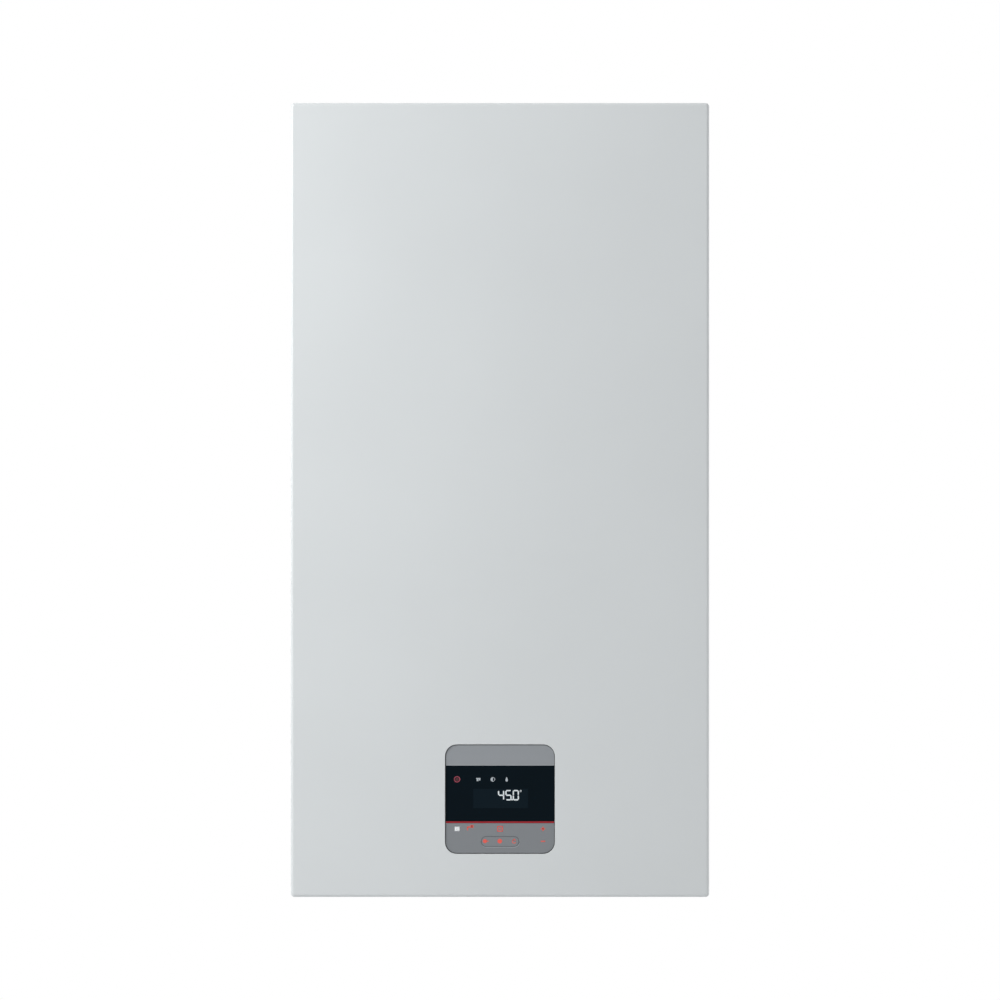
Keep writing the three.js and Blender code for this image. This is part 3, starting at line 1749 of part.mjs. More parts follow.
// The pump that charges the tanks, with the pipe that it is brazed to above the plate heat exchanger.
function chargePump() {
  const axis = [chargeY, stackTop + chargeRise];
  const body = turned('x', [
    [0, chargeX],
    [chargeRadius, chargeX],
    [chargeRadius, chargeX + chargeWidth],
    [chargeMotorRadius, chargeX + chargeWidth],
    [chargeMotorRadius, chargeX + chargeWidth + chargeMotorLength],
    [0, chargeX + chargeWidth + chargeMotorLength],
  ], axis);
  const inlet = pipe([
    [chargePort, chargeY, stackTop + seat],
    [chargePort, chargeY, axis[1]],
    [chargeX + overshoot, chargeY, axis[1]],
  ], waterPipe);
  const outlet = rod(
    'z',
    waterPipe,
    [axis[1], axis[1] + chargeRadius + chargeStub],
    [chargeX + chargeWidth / 2, chargeY],
    smallSides,
  );
  return piece('charge_pump', castAluminium, join(body, inlet, outlet));
}

function chargePipe() {
  const foot = stackTop + chargeRise + chargeRadius + chargeStub + seat;
  const line = chargeLine + seat;
  const stub = tankY - tankRadius - jacketThickness - chargeStub - seat;
  const x = chargeX + chargeWidth / 2;
  return piece('charge_pipe', copper, pipe([
    [x, chargeY, foot],
    [x, chargeY, line],
    [tankX, chargeY, line],
    [tankX, stub, line],
  ], waterPipe));
}

function safetyValve() {
  const face = blockInner + blockWidth + seat;
  const axis = [portLine, blockFoot + safetyHeight];
  const body = rod('x', safetyRadius, [face, face + safetyLength], axis);
  const outlet = rod(
    'z',
    waterPipe,
    [axis[1] - safetyOutlet, axis[1]],
    [face + safetyLength / 2, portLine],
    smallSides,
  );
  const bored = rod(
    'z',
    waterBore,
    [axis[1] - safetyOutlet - overshoot, axis[1] - safetyRadius],
    [face + safetyLength / 2, portLine],
    smallSides,
  );
  return piece('safety_valve', brass, cut(join(body, outlet), bored));
}

// A knob with finger lobes, drawn round the safety valve's axis.
function safetyKnob() {
  const points = [];
  const steps = knobLobes * knobSteps;
  for (let i = 0; i < steps; i += 1) {
    const angle = (2 * Math.PI * i) / steps;
    const radius = knobRadius + knobWave * Math.cos(knobLobes * angle);
    points.push([radius * Math.cos(angle), radius * Math.sin(angle)]);
  }
  return piece('safety_valve_knob', redPlastic, prism('x', polygon(points), [0, knobLength]));
}

function airVent() {
  const foot = blockTop + seat;
  return piece('air_vent', brass, turned('z', [
    [0, foot],
    [ventRadius / 2, foot],
    [ventRadius / 2, foot + ventNeck],
    [ventRadius, foot + ventNeck],
    [ventRadius, foot + ventHeight],
    [ventRadius / 3, foot + ventHeight + ventNeck / 2],
    [ventRadius / 3, foot + ventHeight + ventNeck],
    [0, foot + ventHeight + ventNeck],
  ], [blockInner + ventInset, portLine], smallSides));
}

// ---------------------------------------------------------------------------------------------
// Assembly
// ---------------------------------------------------------------------------------------------

const knobPlace = [
  blockInner + blockWidth + 2 * seat + safetyLength,
  portLine,
  blockFoot + safetyHeight,
];
const tankFootHeight = tankShelfHeight + seat;

const boiler = group(
  [0, 0, -hangerHeight],
  backPanel(),
  wallBracket(),
  sidePanel('left_side_panel', -1),
  sidePanel('right_side_panel', 1),
  topPlate(),
  basePlate(),
  tankShelf(),
  exchangerShelf(),
  flueAdapter(),
  frontCover(),
  coverInsulation(),
  coverSeal(),
  group([0, panelFace, panelCentre], panelFrame(), displayGlass(), accentStrip()),
  group([0, boxFront, boxFoot], electronicsBox(), electronicsLid(), mainBoard()),
  cableGland(),
  group(
    [0, flangeFace, exchangerAxis],
    exchangerHousing(),
    exchangerCoil(),
    burnerDoor(),
    burnerTube(),
    ignitionElectrode(),
  ),
  mixingDuct(),
  fluePipe(),
  condensateHose(),
  condensateTrap(),
  group(
    [fanX, fanY, exchangerAxis],
    fanHousing(),
    fanImpeller(),
    fanMotor(),
    airGasMixer(),
    airIntakePipe(),
    gasValve(),
  ),
  gasSupply(),
  heatingPipe('heating_flow_pipe', -1),
  heatingPipe('heating_return_pipe', 1),
  domesticPipe('hot_water_pipe', -1),
  domesticPipe('cold_water_pipe', 1),
  exchangerFlowPipe(),
  exchangerReturnPipe(),
  tankLinkPipe(),
  group(
    [-tankX, tankY, tankFootHeight],
    storageTank('storage_tank_left', false),
    tankJacket('tank_jacket_left', false),
  ),
  group(
    [tankX, tankY, tankFootHeight],
    storageTank('storage_tank_right', true),
    tankJacket('tank_jacket_right', true),
  ),
  expansionVessel(),
  vesselHose(),
  flowBlock(),
  diverterMotor(),
  diverterSpindle(),
  returnBlock(),
  pumpMotor(),
  pumpRotor(),
  plateHeatExchanger(),
  chargePump(),
  chargePipe(),
  safetyValve(),
  group(knobPlace, safetyKnob()),
  airVent(),
);

export default boiler;
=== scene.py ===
"""Looks of a wall-hung combi boiler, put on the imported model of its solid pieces.

Everything is in metres, in the frame of the solid model: x to the right, y into the wall, z up.
"""

import math

import bmesh
import bpy
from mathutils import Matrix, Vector


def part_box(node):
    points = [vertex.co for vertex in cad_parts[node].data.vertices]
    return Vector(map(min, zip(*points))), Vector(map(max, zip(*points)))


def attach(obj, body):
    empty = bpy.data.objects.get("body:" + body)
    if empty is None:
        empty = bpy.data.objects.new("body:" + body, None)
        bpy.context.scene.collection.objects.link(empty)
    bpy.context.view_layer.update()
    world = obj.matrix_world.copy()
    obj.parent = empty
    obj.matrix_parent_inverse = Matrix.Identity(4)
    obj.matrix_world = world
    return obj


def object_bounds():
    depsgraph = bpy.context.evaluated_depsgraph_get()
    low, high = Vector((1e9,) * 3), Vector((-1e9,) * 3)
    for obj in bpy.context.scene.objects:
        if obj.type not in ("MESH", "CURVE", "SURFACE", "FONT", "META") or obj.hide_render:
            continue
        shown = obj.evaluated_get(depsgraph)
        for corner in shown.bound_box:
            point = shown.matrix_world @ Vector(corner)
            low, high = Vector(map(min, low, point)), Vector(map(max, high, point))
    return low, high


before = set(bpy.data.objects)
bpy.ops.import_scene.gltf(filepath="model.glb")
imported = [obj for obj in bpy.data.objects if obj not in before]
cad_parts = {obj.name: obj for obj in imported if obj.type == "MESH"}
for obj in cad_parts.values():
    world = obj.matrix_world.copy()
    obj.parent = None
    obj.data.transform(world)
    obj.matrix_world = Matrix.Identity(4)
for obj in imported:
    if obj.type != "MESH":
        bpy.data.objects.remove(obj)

bl_info = {
    "name": "Combi Boiler",
    "version": (1, 0, 0),
    "blender": (4, 5, 0),
    "location": "View3D > Sidebar > Boiler",
    "description": "Builds the finishes, the printed panel and the small parts of a combi boiler",
    "category": "Add Mesh",
}

MM = 0.001
SMOOTH_LIMIT = math.radians(38)
LOW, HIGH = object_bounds()
MIDDLE = (LOW + HIGH) / 2
UP, DOWN = (0, 0, 1), (0, 0, -1)
TO_FRONT, TO_BACK = (0, -1, 0), (0, 1, 0)
ROOT = 0.05  # millimetres that a print sinks into what carries it
CORNERS = ((-1, -1), (1, -1), (1, 1), (-1, 1))
COLOUR = {"subtype": "COLOR", "size": 3, "min": 0, "max": 1}
LENGTH = {"unit": "LENGTH", "min": 0}
POWER = {"unit": "POWER", "min": 0}


def linear(red, green, blue):
    """A colour read as 0 to 255 display values, as the shaders need it."""
    parts = [value / 255 for value in (red, green, blue)]
    return tuple(p / 12.92 if p <= 0.04045 else ((p + 0.055) / 1.055) ** 2.4 for p in parts)


# Settings


class BoilerColours(bpy.types.PropertyGroup):
    """Colours of the boiler's finishes."""

    cover: bpy.props.FloatVectorProperty(
        name="Cover",
        description="Powder coat of the cover and the side panels",
        default=linear(215, 219, 220),
        **COLOUR,
    )
    cap: bpy.props.FloatVectorProperty(
        name="Panel",
        description="Moulded body of the control panel",
        default=linear(140, 144, 148),
        **COLOUR,
    )
    glass: bpy.props.FloatVectorProperty(
        name="Glass",
        description="Tint of the dark display glass",
        default=linear(2, 15, 23),
        **COLOUR,
    )
    accent: bpy.props.FloatVectorProperty(
        name="Accent",
        description="Red strip under the glass",
        default=linear(160, 18, 33),
        **COLOUR,
    )
    symbol: bpy.props.FloatVectorProperty(
        name="Symbols",
        description="Red touch symbols",
        default=linear(222, 92, 80),
        **COLOUR,
    )


class BoilerSizes(bpy.types.PropertyGroup):
    """Sizes of the small parts that are added to the solid pieces."""

    edge: bpy.props.FloatProperty(
        name="Edge",
        description="Rounding of the solid pieces' edges",
        default=0.0004,
        **LENGTH,
    )
    print_lift: bpy.props.FloatProperty(
        name="Print lift",
        description="How far printed symbols stand proud of what they are printed on",
        default=0.00008,
        **LENGTH,
    )
    digit_height: bpy.props.FloatProperty(
        name="Digit height",
        description="Height of the display's digits",
        default=0.0118,
        **LENGTH,
    )
    screw_radius: bpy.props.FloatProperty(
        name="Screw radius",
        description="Radius of the casing screws' heads",
        default=0.0042,
        **LENGTH,
    )
    digits: bpy.props.StringProperty(
        name="Digits",
        description="Number that the display shows",
        default="45.0",
    )


class BoilerStage(bpy.types.PropertyGroup):
    """Camera and light."""

    lens: bpy.props.FloatProperty(
        name="Lens",
        description="Focal length of the camera",
        unit="CAMERA",
        default=200,
        min=1,
    )
    frame_width: bpy.props.FloatProperty(
        name="Frame width",
        description="Width of the picture in the plane of the cover's face",
        default=1.123,
        **LENGTH,
    )
    key: bpy.props.FloatProperty(
        name="Key lamp",
        description="Power of the large lamp at the upper left",
        default=45.5,
        **POWER,
    )
    fill: bpy.props.FloatProperty(
        name="Fill lamps",
        description="Power of each of the lamps that light the right side, the top and the back",
        default=30,
        **POWER,
    )
    ambient: bpy.props.FloatProperty(
        name="Ambient",
        description="Strength of the light from all round, as the surfaces receive it",
        default=0.31,
        min=0,
    )
    floor_drop: bpy.props.FloatProperty(
        name="Floor drop",
        description="Height of the hanging boiler above the floor",
        default=0.7,
        **LENGTH,
    )


# Shaders


class Signal:
    """One socket's value. Arithmetic on it adds Math nodes to its finish."""

    def __init__(self, finish, socket):
        self.finish = finish
        self.socket = socket

    def _math(self, operation, first, second):
        return self.finish.add("ShaderNodeMath", {"operation": operation}, {0: first, 1: second})

    def __add__(self, other):
        return self._math("ADD", self, other)

    def __rsub__(self, other):
        return self._math("SUBTRACT", other, self)

    def __mul__(self, other):
        return self._math("MULTIPLY", self, other)

    def __rmul__(self, other):
        return self._math("MULTIPLY", other, self)

    def __gt__(self, other):
        return self._math("GREATER_THAN", self, other)

    def __lt__(self, other):
        return self._math("LESS_THAN", self, other)


class Nodes:
    """A node tree that is put together step by step."""

    def __init__(self, tree):
        self.tree = tree
        tree.nodes.clear()

    def add(self, kind, settings=None, inputs=None, output=0):
        """Makes a node, sets it up, then fills its sockets with values or signals."""
        node = self.tree.nodes.new(kind)
        for key, value in (settings or {}).items():
            setattr(node, key, value)
        for key, value in (inputs or {}).items():
            if isinstance(value, Signal):
                self.tree.links.new(value.socket, node.inputs[key])
            else:
                node.inputs[key].default_value = value
        return Signal(self, node.outputs[output]) if node.outputs else None


class Finish(Nodes):
    """The node tree of a new material, or of a world."""

    def __init__(self, name, world=None):
        self.material = world or bpy.data.materials.new(name)
        self.material.use_nodes = True
        super().__init__(self.material.node_tree)

    def place(self, stretch=(1, 1, 1)):
        """The point on the object, stretched along the axes."""
        point = self.add("ShaderNodeTexCoord", output="Object")
        return self.add("ShaderNodeMapping", inputs={"Vector": point, "Scale": stretch})

    def noise(self, scale, detail, stretch=(1, 1, 1)):
        inputs = {"Vector": self.place(stretch), "Scale": scale, "Detail": detail}
        return self.add("ShaderNodeTexNoise", inputs=inputs)

    def cells(self, scale, output="Distance"):
        inputs = {"Vector": self.place(), "Scale": scale}
        return self.add("ShaderNodeTexVoronoi", inputs=inputs, output=output)

    def level(self, signal, low, high, first=0.0, last=1.0):
        """Takes what lies between low and high to what lies between first and last."""
        ends = {"From Min": low, "From Max": high, "To Min": first, "To Max": last}
        return self.add("ShaderNodeMapRange", inputs={"Value": signal, **ends})

    def blend(self, share, first, second):
        """A colour between two colours."""
        first, second = (c if isinstance(c, Signal) else (*c[:3], 1) for c in (first, second))
        inputs = {0: share, 6: first, 7: second}
        return self.add("ShaderNodeMix", {"data_type": "RGBA"}, inputs, 2)

    def bump(self, height, depth, strength):
        inputs = {"Strength": strength, "Distance": depth, "Height": height}
        return self.add("ShaderNodeBump", inputs=inputs)

    def surface(self, **inputs):
        """The shader itself. Underscores in a name stand for the spaces in its socket's."""
        named = {key.replace("_", " "): value for key, value in inputs.items()}
        if "Base Color" in named and not isinstance(named["Base Color"], Signal):
            named["Base Color"] = (*named["Base Color"][:3], 1)
        shader = self.add("ShaderNodeBsdfPrincipled", inputs=named)
        self.add("ShaderNodeOutputMaterial", inputs={"Surface": shader})
        return self.material


def shade(colour, factor):
    return tuple(min(1, part * factor) for part in colour[:3])


def cloudy(finish, scale, detail, colour, dark, pale, low=0.3):
    """A colour that drifts between a darker and a paler shade of itself."""
    cloud = finish.level(finish.noise(scale, detail), low, 0.7)
    return finish.blend(cloud, shade(colour, dark), shade(colour, pale))


def powder_coat(name, colour):
    """Smooth paint with a faint orange peel and the slightest cloudiness."""
    finish = Finish(name)
    peel = finish.noise(420, 2)
    return finish.surface(
        Base_Color=cloudy(finish, 5, 2, colour, 0.985, 1.01),
        Roughness=finish.level(finish.noise(60, 3), 0.3, 0.7, 0.34, 0.42),
        Normal=finish.bump(peel, 0.00003, 0.35),
        Specular_IOR_Level=0.45,
    )


def zinc_sheet(name, colour):
    """Zinc-coated sheet: flower-like crystals under fine rolling marks."""
    finish = Finish(name)
    crystals = finish.cells(70, output="Color")
    tone = finish.add("ShaderNodeSeparateColor", inputs={"Color": crystals})
    marks = finish.noise(180, 2, (1, 1, 0.05))
    return finish.surface(
        Base_Color=finish.blend(finish.level(tone, 0, 1), shade(colour, 0.9), shade(colour, 1.06)),
        Metallic=0.85,
        Roughness=finish.level(tone, 0, 1, 0.38, 0.52) + 0.06 * marks,
        Normal=finish.bump(marks, 0.00003, 0.3),
    )


def brushed_steel(name, colour, grain=(1, 1, 0.03)):
    """Bare steel with brushing along its length and faint heat clouds."""
    finish = Finish(name)
    brushing = finish.noise(900, 2, grain)
    return finish.surface(
        Base_Color=cloudy(finish, 14, 2, colour, 1, 0.88, 0.35),
        Metallic=1.0,
        Roughness=finish.level(brushing, 0.3, 0.7, 0.24, 0.38),
        Normal=finish.bump(brushing, 0.00004, 0.35),
    )


def cast_metal(name, colour):
    """Die-cast metal with a sandy skin."""
    finish = Finish(name)
    sand = finish.noise(1100, 4)
    return finish.surface(
        Base_Color=cloudy(finish, 30, 3, colour, 0.88, 1.06),
        Metallic=0.9,
        Roughness=finish.level(sand, 0.3, 0.7, 0.46, 0.6),
        Normal=finish.bump(sand, 0.0001, 0.5),
    )


def drawn_tube(name, bright, dull, foot=None, nut_top=LOW.z - 1):
    """Copper or brass, bright where it was drawn and duller where it was handled and soldered.

    The foot is the colour of the union nuts, which end at the given height.
    """
    finish = Finish(name)
    stain = finish.level(finish.noise(26, 5), 0.42, 0.68)
    lines = finish.noise(700, 2, (1, 1, 0.08))
    height = finish.add("ShaderNodeSeparateXYZ", inputs={"Vector": finish.place()}, output="Z")
    under = height < nut_top
    bright = finish.blend(under, bright, foot or bright)
    dull = finish.blend(under, dull, shade(foot or dull, 0.75))
    return finish.surface(
        Base_Color=finish.blend(stain, bright, dull),
        Metallic=1.0,
        Roughness=finish.level(lines, 0.3, 0.7, 0.26, 0.36) + 0.16 * stain,
        Normal=finish.bump(lines, 0.00003, 0.3),
    )


def moulded(name, colour, rough=0.5, grain=1600, depth=0.00004):
    """Moulded plastic with a fine eroded grain."""
    finish = Finish(name)
    pits = finish.noise(grain, 2)
    return finish.surface(
        Base_Color=cloudy(finish, 22, 2, colour, 0.96, 1.04),
        Roughness=finish.level(pits, 0.3, 0.7, rough - 0.05, rough + 0.06),
        Normal=finish.bump(pits, depth, 0.4),
        Specular_IOR_Level=0.4,
    )


def soft_rubber(name, colour):
    """Dull rubber with a bloom that lightens it in patches."""
    finish = Finish(name)
    bloom = finish.level(finish.noise(40, 4), 0.45, 0.7)
    pores = finish.noise(1400, 3)
    return finish.surface(
        Base_Color=finish.blend(bloom, colour, shade(colour, 1.7)),
        Roughness=finish.level(pores, 0.3, 0.7, 0.72, 0.86),
        Normal=finish.bump(pores, 0.00006, 0.5),
    )


def foam(name, colour):
    """Cut foam with open pores."""
    finish = Finish(name)
    pores = finish.level(finish.cells(420), 0.1, 0.5)
    return finish.surface(
        Base_Color=finish.blend(pores, shade(colour, 0.6), shade(colour, 1.15)),
        Roughness=0.95,
        Normal=finish.bump(pores, 0.0006, 0.7),
    )


def fibre_mat(name, colour):
    """Pressed fibre mat with long crossing hairs."""
    finish = Finish(name)
    hairs = finish.noise(260, 4, (1, 1, 0.25)) + finish.noise(260, 4, (0.25, 1, 1))
    return finish.surface(
        Base_Color=finish.blend(finish.level(hairs, 0.7, 1.3), shade(colour, 0.84), colour),
        Roughness=0.95,
        Normal=finish.bump(hairs, 0.0005, 0.6),
    )


def dark_glass(name, colour):
    """Dark display window: glossy, with a breath of smudging."""
    finish = Finish(name)
    smudge = finish.level(finish.noise(18, 4), 0.45, 0.75)
    return finish.surface(
        Base_Color=finish.blend(smudge, colour, shade(colour, 1.12)),
        Roughness=finish.level(smudge, 0, 1, 0.06, 0.11),
        Specular_IOR_Level=0.05,
    )


def circuit_board(name, colour):
    """Green board with lighter copper tracks under the lacquer."""
    finish = Finish(name)
    upright = {"Vector": finish.place((90, 90, 90)), "Rotation": (math.radians(90), 0, 0)}
    place = finish.add("ShaderNodeMapping", inputs=upright)
    tracks = finish.add(
        "ShaderNodeTexBrick",
        {"offset": 0.5, "squash": 2},
        {"Vector": place, "Mortar Size": 0.03, "Scale": 1.0},
        output="Fac",
    )
    return finish.surface(
        Base_Color=finish.blend(tracks, colour, linear(96, 150, 92)),
        Roughness=finish.level(finish.noise(300, 2), 0.3, 0.7, 0.32, 0.46),
        Normal=finish.bump(tracks, 0.00004, 0.5),
    )


def print_ink(name, colour, glow=0.0):
    """Printed or lit symbol. Its tiny mottling is that of screen ink."""
    finish = Finish(name)
    mottle = finish.level(finish.noise(900, 2), 0.3, 0.7)
    ink = finish.blend(mottle, shade(colour, 0.95), shade(colour, 1.04))
    return finish.surface(
        Base_Color=ink,
        Roughness=finish.level(mottle, 0, 1, 0.45, 0.55),
        Emission_Color=ink,
        Emission_Strength=glow,
    )


# Meshes


def middle(low, high):
    """The middle of a box, in millimetres."""
    return [(a + b) / 2 / MM for a, b in zip(low, high)]


def settings():
    scene = bpy.context.scene
    return scene.boiler_colours, scene.boiler_sizes, scene.boiler_stage


def rounding_group():
    """Geometry nodes that smooth every edge flatter than the limit, made once."""
    name = "smooth_by_angle"
    if name in bpy.data.node_groups:
        return bpy.data.node_groups[name]
    group = bpy.data.node_groups.new(name, "GeometryNodeTree")
    for direction in ("INPUT", "OUTPUT"):
        group.interface.new_socket("Geometry", in_out=direction, socket_type="NodeSocketGeometry")
    nodes = Nodes(group)
    angle = nodes.add("GeometryNodeInputMeshEdgeAngle")
    limit = {0: angle, 1: SMOOTH_LIMIT}
    steep = nodes.add("FunctionNodeCompare", {"operation": "GREATER_THAN"}, limit)
    start = nodes.add("NodeGroupInput")
    faces = nodes.add("GeometryNodeSetShadeSmooth", inputs={"Geometry": start})
    sharp = {"Geometry": faces, "Selection": steep, "Shade Smooth": False}
    edges = nodes.add("GeometryNodeSetShadeSmooth", {"domain": "EDGE"}, sharp)
    nodes.add("NodeGroupOutput", inputs={0: edges})
    return group


def soften(thing, edge):
    """Welds, rounds and smooths a mesh by modifiers, so that its own points stay as they are."""
    weld = thing.modifiers.new("weld", "WELD")
    weld.merge_threshold = 0.00001
    if edge > 0:
        bevel = thing.modifiers.new("edges", "BEVEL")
        bevel.width = edge
        bevel.segments = 2
        bevel.limit_method = "ANGLE"
        bevel.angle_limit = SMOOTH_LIMIT
        bevel.harden_normals = False
    smooth = thing.modifiers.new("smooth", "NODES")
    smooth.node_group = rounding_group()
    flatten = thing.modifiers.new("flat_faces", "WEIGHTED_NORMAL")
    flatten.keep_sharp = True


def dress(names, material, edge=None):
    """Gives solid pieces their finish and rounded edges."""
    width = settings()[1].edge if edge is None else edge
    for name in names:
        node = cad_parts[name]
        for slot in node.material_slots:
            slot.material = material
        soften(node, width)


class Draft:
    """A mesh that is drawn in millimetres and then put in its place as one piece."""

    def __init__(self):
        self.mesh = bmesh.new()

    def slab(self, outline, front, back):
        """An outline of (x, z) points, given thickness from front to back along y."""
        near = [self.mesh.verts.new((x, front, z)) for x, z in outline]
        far = [self.mesh.verts.new((x, back, z)) for x, z in outline]
        self.mesh.faces.new(near)
        self.mesh.faces.new(list(reversed(far)))
        for i, corner in enumerate(near):
            after = (i + 1) % len(near)
            self.mesh.faces.new((near[after], corner, far[i], far[after]))

    def lathe(self, profile, centre, axis, sides):
        """A profile of (radius, height) points turned round an axis through the centre."""
        turn = Vector(UP).rotation_difference(Vector(axis))
        rings = []
        for radius, height in profile:
            ring = []
            for i in range(sides if radius else 1):
                angle = 2 * math.pi * i / sides
                point = Vector((radius * math.cos(angle), radius * math.sin(angle), height))
                ring.append(self.mesh.verts.new(turn @ point + Vector(centre)))
            rings.append(ring)
        for low, high in zip(rings, rings[1:]):
            for i in range(sides):
                after = (i + 1) % sides
                near = [low[k % len(low)] for k in (i, after)]
                far = [high[k % len(high)] for k in (after, i)]
                unique = list(dict.fromkeys(near + far))
                if len(unique) > 2:
                    self.mesh.faces.new(unique)

    def loft(self, loops):
        """Skins closed loops of points, each loop joined to the next."""
        rows = [[self.mesh.verts.new(point) for point in loop] for loop in loops]
        for low, high in zip(rows, rows[1:]):
            for i in range(len(low)):
                after = (i + 1) % len(low)
                self.mesh.faces.new((low[i], low[after], high[after], high[i]))

    def cut_cross(self, centre, axis, size, width, top):
        """Two crossed slots, as flat dark marks of painted shade on a screw's head."""
        across = Vector((1, 0, 0))
        side = Vector(axis).cross(across)
        for first, second in ((across, side), (side, across)):
            corners = []
            for a, b in CORNERS:
                flat = Vector(centre) + first * (a * size) + second * (b * width)
                corners.append(self.mesh.verts.new(flat + Vector(axis) * top))
            self.mesh.faces.new(corners)

    def finish(self, name, material, slot, edge=0.0, body="boiler"):
        """Turns the drawing into an object that rides on a body."""
        bmesh.ops.recalc_face_normals(self.mesh, faces=self.mesh.faces)
        bmesh.ops.scale(self.mesh, vec=(MM, MM, MM), verts=self.mesh.verts)
        data = bpy.data.meshes.new(name)
        self.mesh.to_mesh(data)
        self.mesh.free()
        thing = bpy.data.objects.new(name, data)
        bpy.context.collection.objects.link(thing)
        data.materials.append(material)
        soften(thing, edge)
        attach(thing, body)


def arc(centre, radius, start, end, steps):
    """Points along an arc, angles in turns."""
    points = []
    for i in range(steps + 1):
        angle = 2 * math.pi * (start + (end - start) * i / steps)
        points.append((centre[0] + radius * math.cos(angle), centre[1] + radius * math.sin(angle)))
    return points


def band(centre, outer, inner, start, end, steps=16):
    """The outline of part of a ring."""
    return arc(centre, outer, start, end, steps) + arc(centre, inner, end, start, steps)


def circle(centre, outer, inner, steps=16):
    """The outlines of a ring's two halves."""
    return [band(centre, outer, inner, half, half + 0.5, steps) for half in (0, 0.5)]


def bar(first, last, width):
    """The outline of a straight stroke."""
    run = Vector((last[0] - first[0], last[1] - first[1])).normalized() * width / 2
    side = Vector((-run.y, run.x))
    return [
        (first[0] - side.x, first[1] - side.y),
        (last[0] - side.x, last[1] - side.y),
        (last[0] + side.x, last[1] + side.y),
        (first[0] + side.x, first[1] + side.y),
    ]


def sign(centre, strokes):
    """The outlines of straight strokes, each with its ends seen from the centre and its width."""
    x, z = centre
    return [bar((x + a, z + b), (x + c, z + d), width) for a, b, c, d, width in strokes]


def drop(centre, width, height, steps=20):
    """The outline of a flame: a drop with its tip up."""
    points = []
    for i in range(steps):
        angle = 2 * math.pi * i / steps
        swell = math.sin(angle / 2) ** 1.2
        across = width * math.sin(angle) * swell
        points.append((centre[0] + across, centre[1] + height * math.cos(angle)))
    return points


def rounded(centre, width, height, radius, steps=10):
    """The outline of a rectangle with rounded corners."""
    points = []
    for i, (x, z) in enumerate(((1, 1), (-1, 1), (-1, -1), (1, -1))):
        corner = (centre[0] + x * (width / 2 - radius), centre[1] + z * (height / 2 - radius))
        points += arc(corner, radius, i / 4, (i + 1) / 4, steps)
    return points


def capsule(centre, width, height):
    """The outline of a bar with round ends, as its upper and its lower half."""
    radius = height / 2
    reach = width / 2 - radius
    right = (centre[0] + reach, centre[1])
    left = (centre[0] - reach, centre[1])
    upper = arc(right, radius, 0, 0.25, 8) + arc(left, radius, 0.25, 0.5, 8)
    lower = arc(left, radius, 0.5, 0.75, 8) + arc(right, radius, 0.75, 1, 8)
    return upper, lower


# Control panel prints

# A digit's strokes, a to g: top, upper and lower right, bottom, lower and upper left, middle.
STROKES = "abcdef bc abged abgcd fgbc afgcd afgcde abc abcdefg abcdfg".split()


# Shares of a digit's height.
DIGIT_WIDTH = 0.6
DIGIT_STROKE = 0.125
DIGIT_STEP = 0.7


def stroke_shape(start, end, width):
    """One stroke of a digit with pointed ends, so that neighbours meet at a mitre."""
    run = Vector((end[0] - start[0], end[1] - start[1])).normalized()
    side = Vector((-run.y, run.x)) * width / 2
    first = Vector(start) + run * width / 2
    last = Vector(end) - run * width / 2
    tip = run * width * 0.42
    corners = [first - tip, first - side, last - side, last + tip, last + side, first + side]
    return [(c.x, c.y) for c in corners]


def draw_digit(draft, digit, left, top, height, front, back):
    """A digit of a seven-stroke display, with its upper left corner at the given place."""
    wide, stroke = height * DIGIT_WIDTH, height * DIGIT_STROKE
    inset = stroke / 2
    x0, x1 = left + inset, left + wide - inset
    z0, z1, z2 = top - height + inset, top - height / 2, top - inset
    ends = {
        "a": ((x0, z2), (x1, z2)),
        "b": ((x1, z1), (x1, z2)),
        "c": ((x1, z0), (x1, z1)),
        "d": ((x0, z0), (x1, z0)),
        "e": ((x0, z0), (x0, z1)),
        "f": ((x0, z1), (x0, z2)),
        "g": ((x0, z1), (x1, z1)),
    }
    for key in STROKES[int(digit)]:
        draft.slab(stroke_shape(*ends[key], stroke), front, back)


class PanelFace:
    """Places on the control panel's face, in millimetres from its middle."""

    def __init__(self):
        low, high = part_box("panel_frame")
        glass_low, glass_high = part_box("display_glass")
        self.x, _, self.z = middle(low, high)
        self.face = low.y / MM
        self.glass = glass_low.y / MM
        self.glass_high = glass_high.z / MM - self.z
        self.lift = settings()[1].print_lift / MM

    def at(self, outline):
        return [(self.x + x, self.z + z) for x, z in outline]

    def print(self, draft, *outlines, level=1, on=None):
        """Outlines round the panel's middle, on its body or on the face at the given depth."""
        face = self.face if on is None else on
        for outline in outlines:
            draft.slab(self.at(outline), face - self.lift * level, face + ROOT)


# Operators

KEY_PLACE, KEY_SIZE = (-1.7, LOW.y - 1.2, MIDDLE.z + 0.85), 1.2
FILL_SIZE = 2.0
# The fill lamps' names, places and shares of their power.
FILL_LAMPS = (
    ("side_lamp", (3.0, LOW.y + 0.2, MIDDLE.z), 1),
    ("top_lamp", (0, -0.3, HIGH.z + 2.4), 0.5),
    ("rear_lamp", (-1.2, 3.0, HIGH.z + 0.4), 1),
)
SENSOR = 36
VIEW_REACH = 100
FLOOR_REACH = 12
FADE_START, FADE_END = 1.5, 4.0  # distances at which the floor starts and ends to fade


